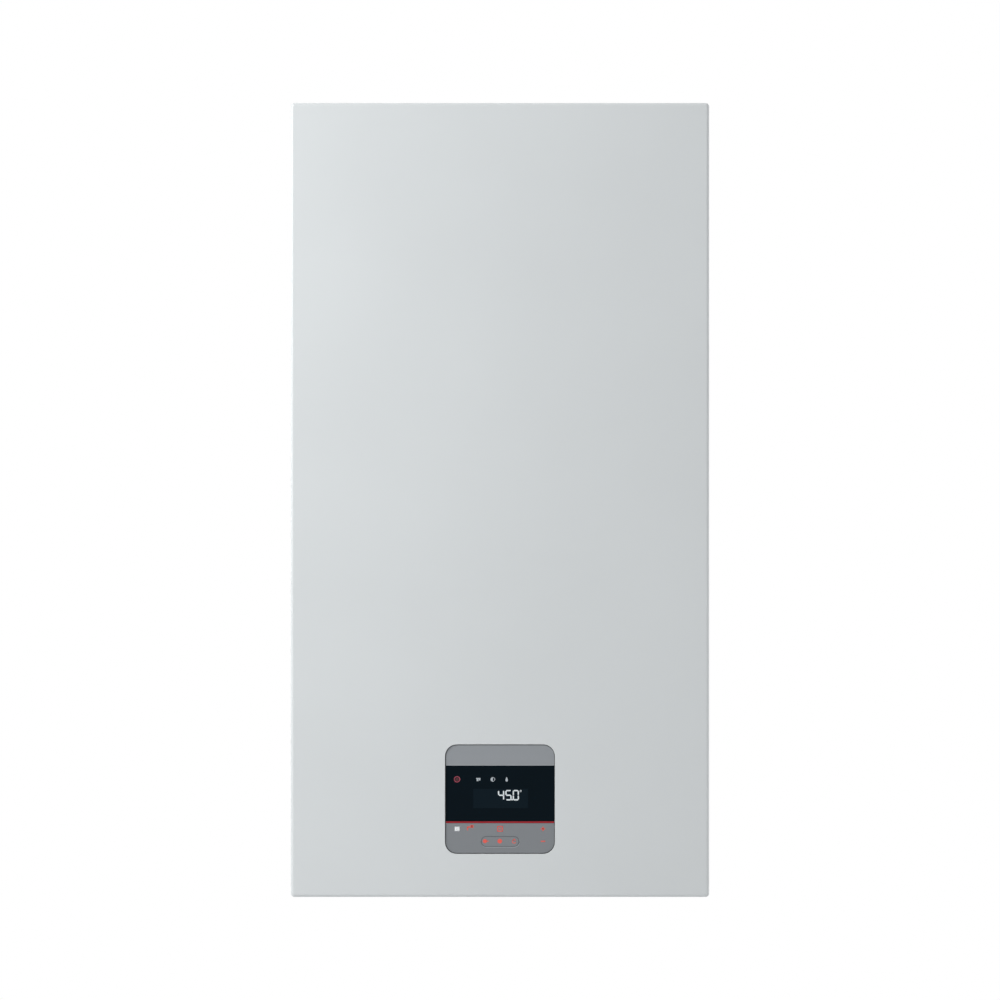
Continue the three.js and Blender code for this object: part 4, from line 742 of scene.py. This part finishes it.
class BOILER_OT_stage(bpy.types.Operator):
    """Camera at the photograph's angle, soft studio lamps, pale floor and white surroundings"""

    bl_idname = "boiler.stage"
    bl_label = "Stage"

    def execute(self, context):
        stage = settings()[2]
        scene = context.scene
        scene.view_settings.view_transform = "Standard"
        self.camera(scene, stage)
        face = Vector((0, LOW.y, MIDDLE.z))
        self.lamp("key_lamp", KEY_PLACE, face, KEY_SIZE, stage.key)
        for name, place, share in FILL_LAMPS:
            self.lamp(name, place, MIDDLE, FILL_SIZE, stage.fill * share)
        self.surroundings(scene, stage)
        self.floor(stage)
        return {"FINISHED"}

    def camera(self, scene, stage):
        data = bpy.data.cameras.new("camera")
        data.lens = stage.lens
        data.sensor_width = SENSOR
        distance = stage.frame_width / 2 / (data.sensor_width / 2 / stage.lens)
        data.clip_end = VIEW_REACH
        camera = bpy.data.objects.new("camera", data)
        camera.location = (0, LOW.y - distance, MIDDLE.z)
        camera.rotation_euler = (math.radians(90), 0, 0)
        scene.collection.objects.link(camera)
        scene.camera = camera

    def lamp(self, name, place, target, size, power):
        data = bpy.data.lights.new(name, "AREA")
        data.shape = "SQUARE"
        data.size = size
        data.energy = power
        lamp = bpy.data.objects.new(name, data)
        lamp.location = place
        lamp.rotation_euler = (target - Vector(place)).to_track_quat("-Z", "Y").to_euler()
        bpy.context.scene.collection.objects.link(lamp)

    def seen_white(self, finish):
        """1 for the rays that find all round white: those of the camera, of gloss and of glass."""
        rays = ("Is Camera Ray", "Is Glossy Ray", "Is Transmission Ray")
        camera, gloss, glass = (finish.add("ShaderNodeLightPath", output=ray) for ray in rays)
        return 1 - (1 - camera) * (1 - gloss) * (1 - glass)

    def surroundings(self, scene, stage):
        world = bpy.data.worlds.new("studio")
        scene.world = world
        finish = Finish("studio", world)
        white = self.seen_white(finish)
        shown = finish.add("ShaderNodeBackground", inputs={"Color": (1, 1, 1, 1), "Strength": 1.0})
        soft = {"Color": (0.97, 0.98, 1, 1), "Strength": stage.ambient}
        light = finish.add("ShaderNodeBackground", inputs=soft)
        mixed = finish.add("ShaderNodeMixShader", inputs={0: white, 1: light, 2: shown})
        finish.add("ShaderNodeOutputWorld", inputs={"Surface": mixed})

    def floor(self, stage):
        """Pale floor that fades into the white surroundings and is clear from below."""
        finish = Finish("studio_floor")
        length = {"operation": "LENGTH"}
        away = finish.add("ShaderNodeVectorMath", length, {0: finish.place()}, "Value")
        white = self.seen_white(finish) * finish.level(away, FADE_START, FADE_END, 0.88, 1.0)
        plain = finish.add("ShaderNodeBsdfDiffuse", inputs={"Color": (0.92, 0.92, 0.92, 1)})
        glow = finish.add("ShaderNodeEmission", inputs={"Color": (1, 1, 1, 1), "Strength": 1.0})
        lit = finish.add("ShaderNodeMixShader", inputs={0: white, 1: plain, 2: glow})
        below = finish.add("ShaderNodeNewGeometry", output="Backfacing")
        clear = finish.add("ShaderNodeBsdfTransparent")
        mixed = finish.add("ShaderNodeMixShader", inputs={0: below, 1: lit, 2: clear})
        finish.add("ShaderNodeOutputMaterial", inputs={"Surface": mixed})
        data = bpy.data.meshes.new("studio_floor")
        ground = LOW.z - stage.floor_drop
        corners = [(x * FLOOR_REACH, y * FLOOR_REACH, ground) for x, y in CORNERS]
        data.from_pydata(corners, [], [(0, 1, 2, 3)])
        data.materials.append(finish.material)
        floor = bpy.data.objects.new("studio_floor", data)
        bpy.context.scene.collection.objects.link(floor)


class BOILER_OT_cover(bpy.types.Operator):
    """Powder-coated front cover with the insulation mat and the seal that it carries"""

    bl_idname = "boiler.cover"
    bl_label = "Front cover"

    def execute(self, context):
        colours = settings()[0]
        dress(["front_cover"], powder_coat("cover_paint", colours.cover), 0.00045)
        dress(["cover_insulation"], fibre_mat("pressed_fibre", linear(222, 220, 212)), 0.0015)
        dress(["cover_seal"], soft_rubber("seal_rubber", linear(34, 35, 36)), 0.0006)
        self.window_fold(colours)
        return {"FINISHED"}

    def window_fold(self, colours):
        """Rounded fold round the window, from the cover's face into the gap beside the panel."""
        panel = PanelFace()
        low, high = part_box("panel_frame")
        width, height = (high.x - low.x) / MM, (high.z - low.z) / MM
        face = LOW.y / MM
        steps, gap, inward, sink, depth, corner = 5, 1.0, 0.35, 0.02, 0.9, 12.5
        draft = Draft()
        loops = []
        for step in range(steps + 1):
            angle = math.pi / 2 * step / steps
            room = gap - inward * math.sin(angle)
            y = face + sink + depth * (1 - math.cos(angle))
            size = (width + 2 * room, height + 2 * room)
            outline = rounded((panel.x, panel.z), *size, corner + room)
            loops.append([(x, y, z) for x, z in outline])
        draft.loft(loops)
        # Painted highlight: the cover's paint made a little paler, so that the fold's lit lip
        # shows brighter.
        paint = powder_coat("fold_highlight_paint", shade(colours.cover, 1.04))
        draft.finish("window_fold", paint, "front_cover", body="cover")


class BOILER_OT_casing(bpy.types.Operator):
    """Painted side panels and top plate"""

    bl_idname = "boiler.casing"
    bl_label = "Casing"

    def execute(self, context):
        paint = powder_coat("casing_paint", shade(settings()[0].cover, 0.97))
        dress(["left_side_panel", "right_side_panel", "top_plate"], paint, 0.0003)
        return {"FINISHED"}


class BOILER_OT_sheet_metal(bpy.types.Operator):
    """Bare zinc-coated back panel, wall bracket, base plate and shelves"""

    bl_idname = "boiler.sheet_metal"
    bl_label = "Sheet metal"

    def execute(self, context):
        zinc = zinc_sheet("zinc_sheet", linear(186, 190, 193))
        sheets = ["back_panel", "wall_bracket", "base_plate", "tank_shelf", "exchanger_shelf"]
        dress(sheets, zinc, 0.0003)
        return {"FINISHED"}


class BOILER_OT_control_panel(bpy.types.Operator):
    """Moulded panel body, dark glass and red strip"""

    bl_idname = "boiler.control_panel"
    bl_label = "Control panel"

    def execute(self, context):
        colours = settings()[0]
        dress(["panel_frame"], self.body_plastic(colours.cap), 0.0005)
        dress(["display_glass"], dark_glass("display_glass", colours.glass), 0.0002)
        dress(["accent_strip"], moulded("accent_red", colours.accent, 0.35, 900, 0.00001), 0.0002)
        self.painted_edge_highlight(colours)
        return {"FINISHED"}

    def painted_edge_highlight(self, colours):
        """Painted highlight: a paler stripe along the lower edge of the band above the glass,
        standing in for the light that the band's small bevel catches.
        """
        panel = PanelFace()
        low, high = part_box("panel_frame")
        inset, gap, width = 0.6, 0.1, 0.9
        half = (high.x - low.x) / 2 / MM - inset
        draft = Draft()
        foot = panel.glass_high + gap
        top = foot + width
        panel.print(draft, [(-half, foot), (half, foot), (half, top), (-half, top)], level=0.5)
        # The panel plastic made paler, as painted highlight.
        finish = moulded("highlight_plastic", shade(colours.cap, 1.35), 0.3, 900, 0.00001)
        draft.finish("panel_highlight_stripe", finish, "panel_frame")

    def body_plastic(self, colour):
        """Satin metallic-looking plastic, a shade lighter above the glass than below it."""
        finish = Finish("panel_plastic")
        panel = PanelFace()
        split = finish.add("ShaderNodeSeparateXYZ", inputs={"Vector": finish.place()}, output="Z")
        upper = split > panel.z * MM
        flakes = finish.level(finish.noise(2600, 2), 0.35, 0.65)
        tone = finish.blend(upper, shade(colour, 0.82), shade(colour, 1.06))
        pale = finish.blend(upper, shade(colour, 0.87), shade(colour, 1.12))
        return finish.surface(
            Base_Color=finish.blend(flakes, tone, pale),
            Metallic=0.15,
            Roughness=finish.level(flakes, 0, 1, 0.42, 0.5),
            Normal=finish.bump(flakes, 0.00001, 0.3),
            Specular_IOR_Level=0.3,
        )


# Places on the display, in millimetres from the panel's middle.
CELL_LOW, CELL_HIGH = (-30.1, -10.1), (31.4, 11.5)
DIGITS_START = (-2.3, 10.3)
TAP_SIGN = (-24.3, 22.0)
CONTRAST_SIGN = (-8.1, 22.2)
FLAME_SIGN = (7.5, 22.4)
POWER_SIGN = (-48.2, 22.3)
SMALL_TAP = (
    (-2.6, 1.2, 2.4, 1.2, 1.1),
    (-0.9, 0.8, -0.9, -1.8, 2.0),
    (1.4, 0.8, 1.4, -1.0, 1.6),
)


class BOILER_OT_display(bpy.types.Operator):
    """Digits and symbols on the glass"""

    bl_idname = "boiler.display"
    bl_label = "Display"

    def execute(self, context):
        colours, sizes, _ = settings()
        panel = PanelFace()
        self.window(panel, colours)
        self.digits(panel, sizes)
        self.status_symbols(panel)
        self.power_mark(panel)
        return {"FINISHED"}

    def window(self, panel, colours):
        """The slightly paler field of the liquid-crystal cell behind the glass."""
        draft = Draft()
        (left, low), (right, high) = CELL_LOW, CELL_HIGH
        field = [(left, low), (right, low), (right, high), (left, high)]
        panel.print(draft, field, level=0.5, on=panel.glass)
        finish = Finish("display_field")
        rows = finish.level(finish.noise(1500, 1, (1, 1, 0.2)), 0.3, 0.7)
        paler = tuple(part * 1.5 + 0.002 for part in colours.glass)
        material = finish.surface(
            Base_Color=finish.blend(rows, paler, shade(paler, 1.1)),
            Roughness=finish.level(rows, 0, 1, 0.08, 0.1),
            Specular_IOR_Level=0.05,
        )
        draft.finish("display_field", material, "display_glass")

    def digits(self, panel, sizes):
        height = sizes.digit_height / MM
        draft = Draft()
        left, top = panel.x + DIGITS_START[0], panel.z + DIGITS_START[1]
        front, back = panel.glass - panel.lift, panel.glass + ROOT
        for character in sizes.digits:
            if character == ".":
                spot = (left - height * 0.06, top - height * 0.93)
                draft.slab(arc(spot, height * 0.07, 0, 0.95, 12), front, back)
                continue
            draw_digit(draft, character, left, top, height, front, back)
            left += height * DIGIT_STEP
        spot = (left + height * 0.06, top - height * 0.1)
        for half in circle(spot, height * 0.09, height * 0.05, 8):
            draft.slab(half, front, back)
        white = print_ink("lit_white", linear(214, 221, 224), 0.12)
        draft.finish("display_digits", white, "display_glass")

    def status_symbols(self, panel):
        """Tap, half-filled circle and flame."""
        draft = Draft()
        tap = sign(TAP_SIGN, SMALL_TAP)
        open_half = band(CONTRAST_SIGN, 2.5, 1.9, -0.25, 0.25)
        full_half = arc(CONTRAST_SIGN, 2.5, 0.25, 0.75, 16)
        flame = drop(FLAME_SIGN, 1.75, 2.7)
        panel.print(draft, *tap, open_half, full_half, flame, on=panel.glass)
        white = print_ink("lit_symbols", linear(176, 184, 190), 0.05)
        draft.finish("status_symbols", white, "display_glass")

    def power_mark(self, panel):
        """A ring round a dark red spot."""
        ring = Draft()
        panel.print(ring, *circle(POWER_SIGN, 3.6, 2.5), on=panel.glass)
        rose = print_ink("power_rose", linear(140, 52, 70))
        ring.finish("power_ring", rose, "display_glass")
        spot = Draft()
        panel.print(spot, arc(POWER_SIGN, 2.0, 0, 0.97, 30), on=panel.glass)
        red = print_ink("power_red", linear(62, 2, 16))
        spot.finish("power_spot", red, "display_glass")


# Places on the lower band, in millimetres from the panel's middle.
LEFT_FIELD = (-48.2, -33.4)
TAP_FIELD = (-33.2, -32.2)
MENU_FIELD = (0.1, -33.3)
PLUS_FIELD = (48.3, -33.4)
MINUS_FIELD = (48.3, -47.4)
LARGE_TAP = (
    (-3.6, 0.9, 3.6, 0.9, 1.5),
    (-3.2, 0.9, -3.2, -2.8, 1.4),
    (1.6, 2.9, 1.6, -0.2, 1.6),
    (-0.3, 2.7, 3.7, 2.7, 1.0),
)
LINE_CENTRE = (0.1, -47.6)
LINE_SIZE = (43.4, 12.3)
MIDDLE_FIELDS = -47.2  # height of the three signs inside the line


class BOILER_OT_touch_fields(bpy.types.Operator):
    """Touch symbols on the lower band and the line round the three in the middle"""

    bl_idname = "boiler.touch_fields"
    bl_label = "Touch fields"

    def execute(self, context):
        colours = settings()[0]
        panel = PanelFace()
        red = print_ink("touch_red", colours.symbol, 0.05)
        self.radiator(panel)
        self.field_line(panel)
        self.symbols(panel, red)
        return {"FINISHED"}

    def radiator(self, panel):
        """Three ribs on two rails."""
        draft = Draft()
        ribs = [(step, -2.5, step, 2.5, 1.5) for step in (-1.9, 0, 1.9)]
        rails = [(-2.7, step, 2.7, step, 0.9) for step in (-1.6, 1.6)]
        panel.print(draft, *sign(LEFT_FIELD, ribs + rails))
        white = print_ink("touch_white", linear(240, 242, 243), 0.15)
        draft.finish("heating_symbol", white, "panel_frame")

    def field_line(self, panel):
        """A pressed line round the middle fields, drawn flat: its floor as a dark line of painted
        shade, with a painted highlight as the bright lip below.
        """
        # The dark line is painted shade; the pale line, shifted to the lower right, is a painted
        # highlight.
        for name, shift, width, tone, level in (
            ("field_groove_shade", (0, 0), 1.0, (98, 103, 107), 1),
            ("field_lip_highlight", (0.35, -0.45), 0.5, (172, 176, 180), 0.5),
        ):
            draft = Draft()
            place = (LINE_CENTRE[0] + shift[0], LINE_CENTRE[1] + shift[1])
            outside = capsule(place, *LINE_SIZE)
            inside = capsule(place, *(size - 2 * width for size in LINE_SIZE))
            for outer, inner in zip(outside, inside):
                panel.print(draft, outer + list(reversed(inner)), level=level)
            material = moulded(name + "_plastic", linear(*tone), 0.5)
            draft.finish(name, material, "panel_frame")

    def symbols(self, panel, red):
        """The red signs, each made of strokes and arcs."""
        draft = Draft()
        tap = sign(TAP_FIELD, LARGE_TAP)
        square = [(-2.9, step, 2.9, step, 1.0) for step in (-2.7, 2.7)]
        square += [(step, -3.2, step, 3.2, 1.0) for step in (-2.7, 2.7)]
        menu = sign(MENU_FIELD, [*square, (-1.4, 0, 1.4, 0, 1.0)])
        across, upright = (-2.4, 0, 2.4, 0, 1.3), (0, -2.4, 0, 2.4, 1.3)
        plus = sign(PLUS_FIELD, [across, upright])
        minus = sign(MINUS_FIELD, [across])
        z = MIDDLE_FIELDS
        left = [arc((-17.0, z), 2.3, 0, 0.96, 24), bar((-15.2, z), (-12.9, z), 0.9)]
        stop = arc((-0.3, z), 2.7, 0, 0.96, 8)
        flame = [
            band((15.8, z - 0.4), 2.3, 1.5, 0.3, 0.95),
            bar((16.0, z + 2.6), (17.4, z + 0.6), 0.9),
            bar((14.6, z + 0.6), (16.0, z + 2.6), 0.9),
        ]
        panel.print(draft, *tap, *menu, *plus, *minus, *left, stop, *flame)
        draft.finish("touch_symbols", red, "panel_frame")


# The display's back, its chip and its plug on the board: place, width, height and depth.
BOARD_PARTS = (((0, 0), 66, 30, 2.4), ((-30, -34), 14, 14, 1.6), ((34, -38), 22, 8, 5))


class BOILER_OT_electronics(bpy.types.Operator):
    """Electronics box with its lid, board and cable gland"""

    bl_idname = "boiler.electronics"
    bl_label = "Electronics"

    def execute(self, context):
        black = moulded("box_plastic", linear(40, 42, 44), 0.52)
        dress(["electronics_box", "electronics_lid", "cable_gland"], black)
        lacquer = circuit_board("board_lacquer", linear(38, 92, 58))
        dress(["main_board"], lacquer, 0.0003)
        self.display_board(lacquer)
        return {"FINISHED"}

    def display_board(self, lacquer):
        """Board behind the glass, with the back of the display, its chip and its plug."""
        panel = PanelFace()
        size, thickness, gap = 104, 1.6, 9
        front = panel.glass + gap
        board = Draft()
        board.slab(panel.at(rounded((0, 0), size, size, 6, 4)), front, front + thickness)
        board.finish("display_board", lacquer, "main_board")
        chips = Draft()
        for place, wide, tall, deep in BOARD_PARTS:
            outline = rounded(place, wide, tall, 0.8, 2)
            chips.slab(panel.at(outline), front + 1.5, front + thickness + deep)
        black = moulded("chip_plastic", linear(28, 29, 31), 0.45, 2200)
        chips.finish("display_board_parts", black, "main_board", 0.0002)


class BOILER_OT_combustion(bpy.types.Operator):
    """Heat exchanger with its coil, burner and door"""

    bl_idname = "boiler.combustion"
    bl_label = "Heat exchanger"

    def execute(self, context):
        steel = brushed_steel("cell_steel", linear(196, 198, 200))
        dress(["exchanger_housing", "flue_pipe"], steel)
        coil = brushed_steel("coil_steel", linear(182, 178, 172), (0.05, 1, 1))
        dress(["exchanger_coil"], coil)
        scorched = brushed_steel("burner_steel", linear(150, 140, 134))
        dress(["burner_tube"], scorched, 0.0002)
        cast = cast_metal("cast_aluminium", linear(168, 171, 174))
        dress(["burner_door", "mixing_duct", "fan_housing", "air_gas_mixer", "gas_valve"], cast)
        dress(["ignition_electrode"], moulded("white_ceramic", linear(228, 226, 220), 0.3))
        black = moulded("fan_plastic", linear(44, 46, 48), 0.55)
        dress(["fan_impeller", "fan_motor", "air_intake_pipe"], black)
        self.door_nuts()
        return {"FINISHED"}

    def door_nuts(self):
        """Flanged nuts round the burner door, between its ribs."""
        low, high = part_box("burner_door")
        x, _, z = middle(low, high)
        count, inset = 6, 7
        ring = (high.x - low.x) / 2 / MM - inset
        washer = [(0, -0.2), (5.6, -0.2), (5.6, 0.8), (0, 0.8)]
        nut = [(0, 0.5), (4.6, 0.5), (4.6, 5), (3.9, 5.6), (0, 5.6)]
        draft = Draft()
        for i in range(count):
            angle = 2 * math.pi * (i + 0.5) / count
            spot = (x + ring * math.cos(angle), low.y / MM, z + ring * math.sin(angle))
            draft.lathe(washer, spot, TO_FRONT, 24)
            draft.lathe(nut, spot, TO_FRONT, 6)
        zinc = zinc_sheet("nut_zinc", linear(190, 192, 194))
        draft.finish("door_nuts", zinc, "burner_door", 0.0002)


class BOILER_OT_tanks(bpy.types.Operator):
    """Storage tanks in their jackets, with the expansion vessel and its hose"""

    bl_idname = "boiler.tanks"
    bl_label = "Tanks"

    def execute(self, context):
        steel = brushed_steel("tank_steel", linear(190, 193, 196))
        dress(["storage_tank_left", "storage_tank_right"], steel)
        jacket = foam("jacket_foam", linear(66, 70, 74))
        dress(["tank_jacket_left", "tank_jacket_right"], jacket, 0.001)
        dress(["expansion_vessel"], powder_coat("vessel_red", linear(150, 40, 36)), 0.0006)
        dress(["vessel_hose", "condensate_hose"], soft_rubber("hose_rubber", linear(38, 39, 40)))
        dress(["condensate_trap"], moulded("trap_plastic", linear(150, 154, 158), 0.45))
        return {"FINISHED"}


class BOILER_OT_hydraulics(bpy.types.Operator):
    """Pump and valve blocks, plate heat exchanger and the valves on them"""

    bl_idname = "boiler.hydraulics"
    bl_label = "Hydraulics"

    def execute(self, context):
        brass = drawn_tube("forged_brass", linear(196, 168, 104), linear(150, 122, 74))
        fittings = ["flow_block", "return_block", "safety_valve", "air_vent", "diverter_spindle"]
        dress(fittings, brass)
        dress(["diverter_motor"], moulded("motor_plastic", linear(224, 225, 222), 0.45))
        pump = cast_metal("pump_casting", linear(150, 152, 154))
        dress(["pump_motor", "charge_pump"], pump)
        steel = brushed_steel("plate_steel", linear(200, 201, 202), (0.03, 1, 1))
        dress(["pump_rotor", "plate_heat_exchanger"], steel)
        dress(["safety_valve_knob"], moulded("knob_red", linear(186, 28, 34), 0.4))
        return {"FINISHED"}


class BOILER_OT_pipes(bpy.types.Operator):
    """Copper pipes with threaded ends at the connections"""

    bl_idname = "boiler.pipes"
    bl_label = "Pipes"

    def execute(self, context):
        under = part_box("base_plate")[0].z + 0.001
        brass = linear(206, 180, 120)
        bright, dull = linear(205, 140, 104), linear(150, 96, 70)
        copper = drawn_tube("drawn_copper", bright, dull, brass, under)
        outlets = ["gas_pipe", "heating_flow_pipe", "hot_water_pipe"]
        outlets += ["cold_water_pipe", "heating_return_pipe"]
        inner = ["exchanger_flow_pipe", "exchanger_return_pipe", "tank_link_pipe", "charge_pipe"]
        dress(outlets + inner, copper)
        self.connections(outlets)
        return {"FINISHED"}

    def connections(self, outlets):
        """Threads below the union nuts, cut as a stack of ridges."""
        bore, root, crest, pitch = 9.1, 9.9, 11.0, 1.5
        draft = Draft()
        for name in outlets:
            x, y, foot = self.end_of(name)
            profile = [(bore, foot + 0.8), (root, foot + 1.2)]
            for turn in range(3):
                base = foot + 1.4 + turn * pitch
                profile += [(root, base), (crest, base + 0.45), (crest, base + 0.75)]
                profile += [(root, base + 1.2)]
            profile += [(bore, foot + 6.0)]
            draft.lathe(profile, (x, y, 0), UP, 32)
        thread = drawn_tube("thread_brass", linear(206, 180, 120), linear(164, 136, 86))
        draft.finish("connection_threads", thread, "gas_pipe")

    def end_of(self, name):
        """The lower end of a pipe, found from its lowest points."""
        points = [v.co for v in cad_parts[name].data.vertices]
        foot = min(p.z for p in points)
        xs, ys = zip(*((p.x, p.y) for p in points if p.z < foot + MM / 10))
        x, y = middle((min(xs), min(ys)), (max(xs), max(ys)))
        return x, y, foot / MM


# The flue adapter, in millimetres.
AIR_RADIUS, FLUE_RADIUS = 50, 30
LIP_DROPS = (2.4, 5.2)
FLANGE_DROP = 8  # its flange's upper face below its top
CAP_REACH = 58.5


class BOILER_OT_flue(bpy.types.Operator):
    """Flue adapter with its lip seals and test-point caps"""

    bl_idname = "boiler.flue"
    bl_label = "Flue adapter"

    def execute(self, context):
        dress(["flue_adapter"], moulded("adapter_plastic", linear(46, 48, 50), 0.5))
        low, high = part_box("flue_adapter")
        self.x, self.y, _ = middle(low, high)
        self.top = high.z / MM
        self.flange = self.top - FLANGE_DROP
        self.seals()
        self.caps()
        return {"FINISHED"}

    def seals(self):
        """Two rubber lips in each socket."""
        draft = Draft()
        for radius in (AIR_RADIUS, FLUE_RADIUS):
            for drop_by in LIP_DROPS:
                lip = [
                    (radius + 0.2, self.top - drop_by),
                    (radius - 1.6, self.top - drop_by - 0.5),
                    (radius - 1.6, self.top - drop_by - 1.0),
                    (radius + 0.2, self.top - drop_by - 1.6),
                ]
                draft.lathe(lip, (self.x, self.y, 0), UP, 64)
        rubber = soft_rubber("lip_rubber", linear(30, 31, 32))
        draft.finish("socket_seals", rubber, "flue_adapter")

    def caps(self):
        """Two screw caps over the points where the burnt gas and the air are tested."""
        cap = [(0, 0), (5.6, 0), (5.6, 4.6), (4.8, 5.6), (0, 5.6)]
        grip = [(0, 5.4), (2.6, 5.4), (2.4, 7.2), (0, 7.4)]
        draft = Draft()
        for side in (-1, 1):
            spot = (self.x + side * CAP_REACH, self.y, self.flange - 0.2)
            draft.lathe(cap, spot, UP, 18)
            draft.lathe(grip, spot, UP, 6)
        plastic = moulded("cap_plastic", linear(64, 66, 68), 0.45)
        draft.finish("test_caps", plastic, "flue_adapter", 0.0002)


# The screws' and rivets' places, in millimetres.
SHEET = 1.2
BESIDE = 222  # from the middle to the rows along the sides
TOP_SCREWS = (-60, -270, -480)
BASE_SCREWS = (-40, -500)
FLANGE_SCREWS = 59  # radius of the circle on the flue adapter's flange
RIVET_INSET = 30
COVER_SCREWS, COVER_SCREW_HEIGHT = 150, 14


class BOILER_OT_fasteners(bpy.types.Operator):
    """Screws of the casing, the flue adapter and the cover, and the back panel's rivets"""

    bl_idname = "boiler.fasteners"
    bl_label = "Fasteners"

    def execute(self, context):
        radius = settings()[1].screw_radius / MM
        zinc = zinc_sheet("screw_zinc", linear(196, 198, 200))
        # Near-black for the screws' cross slots: painted shade in the recesses.
        dark = moulded("recess_shade_paint", linear(20, 20, 21), 0.7)
        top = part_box("top_plate")[0].z / MM + SHEET
        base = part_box("base_plate")
        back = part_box("back_panel")
        adapter_low, adapter_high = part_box("flue_adapter")
        centre_x, centre_y, _ = middle(adapter_low, adapter_high)
        flange = adapter_high.z / MM - FLANGE_DROP
        spots = []
        for quarter in range(4):
            angle = math.pi / 2 * (quarter + 0.5)
            x = centre_x + FLANGE_SCREWS * math.cos(angle)
            y = centre_y + FLANGE_SCREWS * math.sin(angle)
            spots.append(((x, y, flange), UP))
        spots += [((x, y, top), UP) for x in (-BESIDE, BESIDE) for y in TOP_SCREWS]
        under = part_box("base_plate")[1].z / MM - SHEET
        spots += [((x, y, under), DOWN) for x in (-BESIDE, 0, BESIDE) for y in BASE_SCREWS]
        self.screws("casing_screws", spots, radius, zinc, dark)
        rear = back[0].y / MM + SHEET
        dome = [(3.6, -0.2), (3.6, 0.3), (2.8, 1.1), (1.4, 1.6), (0, 1.7)]
        rivets = Draft()
        for x in (-BESIDE, BESIDE):
            for z in (back[0].z / MM + RIVET_INSET, MIDDLE.z / MM, back[1].z / MM - RIVET_INSET):
                rivets.lathe(dome, (x, rear, z), TO_BACK, 20)
        rivets.finish("back_rivets", zinc, "back_panel")
        apron = base[0].y / MM + SHEET
        height = base[0].z / MM + COVER_SCREW_HEIGHT
        held = [((x, apron, height), TO_BACK) for x in (-COVER_SCREWS, COVER_SCREWS)]
        self.screws("cover_screws", held, radius, zinc, dark)
        return {"FINISHED"}

    def screws(self, name, spots, radius, metal, dark):
        """Flanged screws with crossed slots, each at a place and along an axis. The slots are flat
        dark marks of painted shade.
        """
        heads, slots = Draft(), Draft()
        flange = [(radius + 1.4, -0.2), (radius + 1.4, 0.5), (radius, 0.5)]
        dome = [(radius, 1.4), (radius * 0.75, 2.3), (0, 2.5)]
        for place, axis in spots:
            heads.lathe(flange + dome, place, axis, 24)
            slots.cut_cross(place, axis, radius * 0.55, radius * 0.12, 2.53)
        heads.finish(name, metal, "back_panel")
        slots.finish(name + "_slot_shade", dark, "back_panel")


class BOILER_PT_sidebar(bpy.types.Panel):
    """Lists the settings and the steps in the 3D view's sidebar"""

    bl_idname = "BOILER_PT_sidebar"
    bl_label = "Combi boiler"
    bl_space_type = "VIEW_3D"
    bl_region_type = "UI"
    bl_category = "Boiler"

    def draw(self, context):
        layout = self.layout
        for group in settings():
            box = layout.box()
            for key in group.bl_rna.properties.keys():
                if key not in ("rna_type", "name"):
                    box.prop(group, key)
        for operator in STEPS:
            layout.operator(operator.bl_idname, text=operator.bl_label)


GROUPS = {
    "boiler_colours": BoilerColours,
    "boiler_sizes": BoilerSizes,
    "boiler_stage": BoilerStage,
}
STEPS = (
    BOILER_OT_stage,
    BOILER_OT_cover,
    BOILER_OT_casing,
    BOILER_OT_sheet_metal,
    BOILER_OT_control_panel,
    BOILER_OT_display,
    BOILER_OT_touch_fields,
    BOILER_OT_electronics,
    BOILER_OT_combustion,
    BOILER_OT_tanks,
    BOILER_OT_hydraulics,
    BOILER_OT_pipes,
    BOILER_OT_flue,
    BOILER_OT_fasteners,
)


def register():
    for kind in (*GROUPS.values(), *STEPS, BOILER_PT_sidebar):
        bpy.utils.register_class(kind)
    for name, kind in GROUPS.items():
        setattr(bpy.types.Scene, name, bpy.props.PointerProperty(type=kind))


def unregister():
    for name in GROUPS:
        delattr(bpy.types.Scene, name)
    for kind in (BOILER_PT_sidebar, *reversed(STEPS), *GROUPS.values()):
        bpy.utils.unregister_class(kind)


def main():
    register()
    for step in STEPS:
        name = step.bl_idname.split(".")[1]
        getattr(bpy.ops.boiler, name)()


if __name__ == "__main__":
    main()
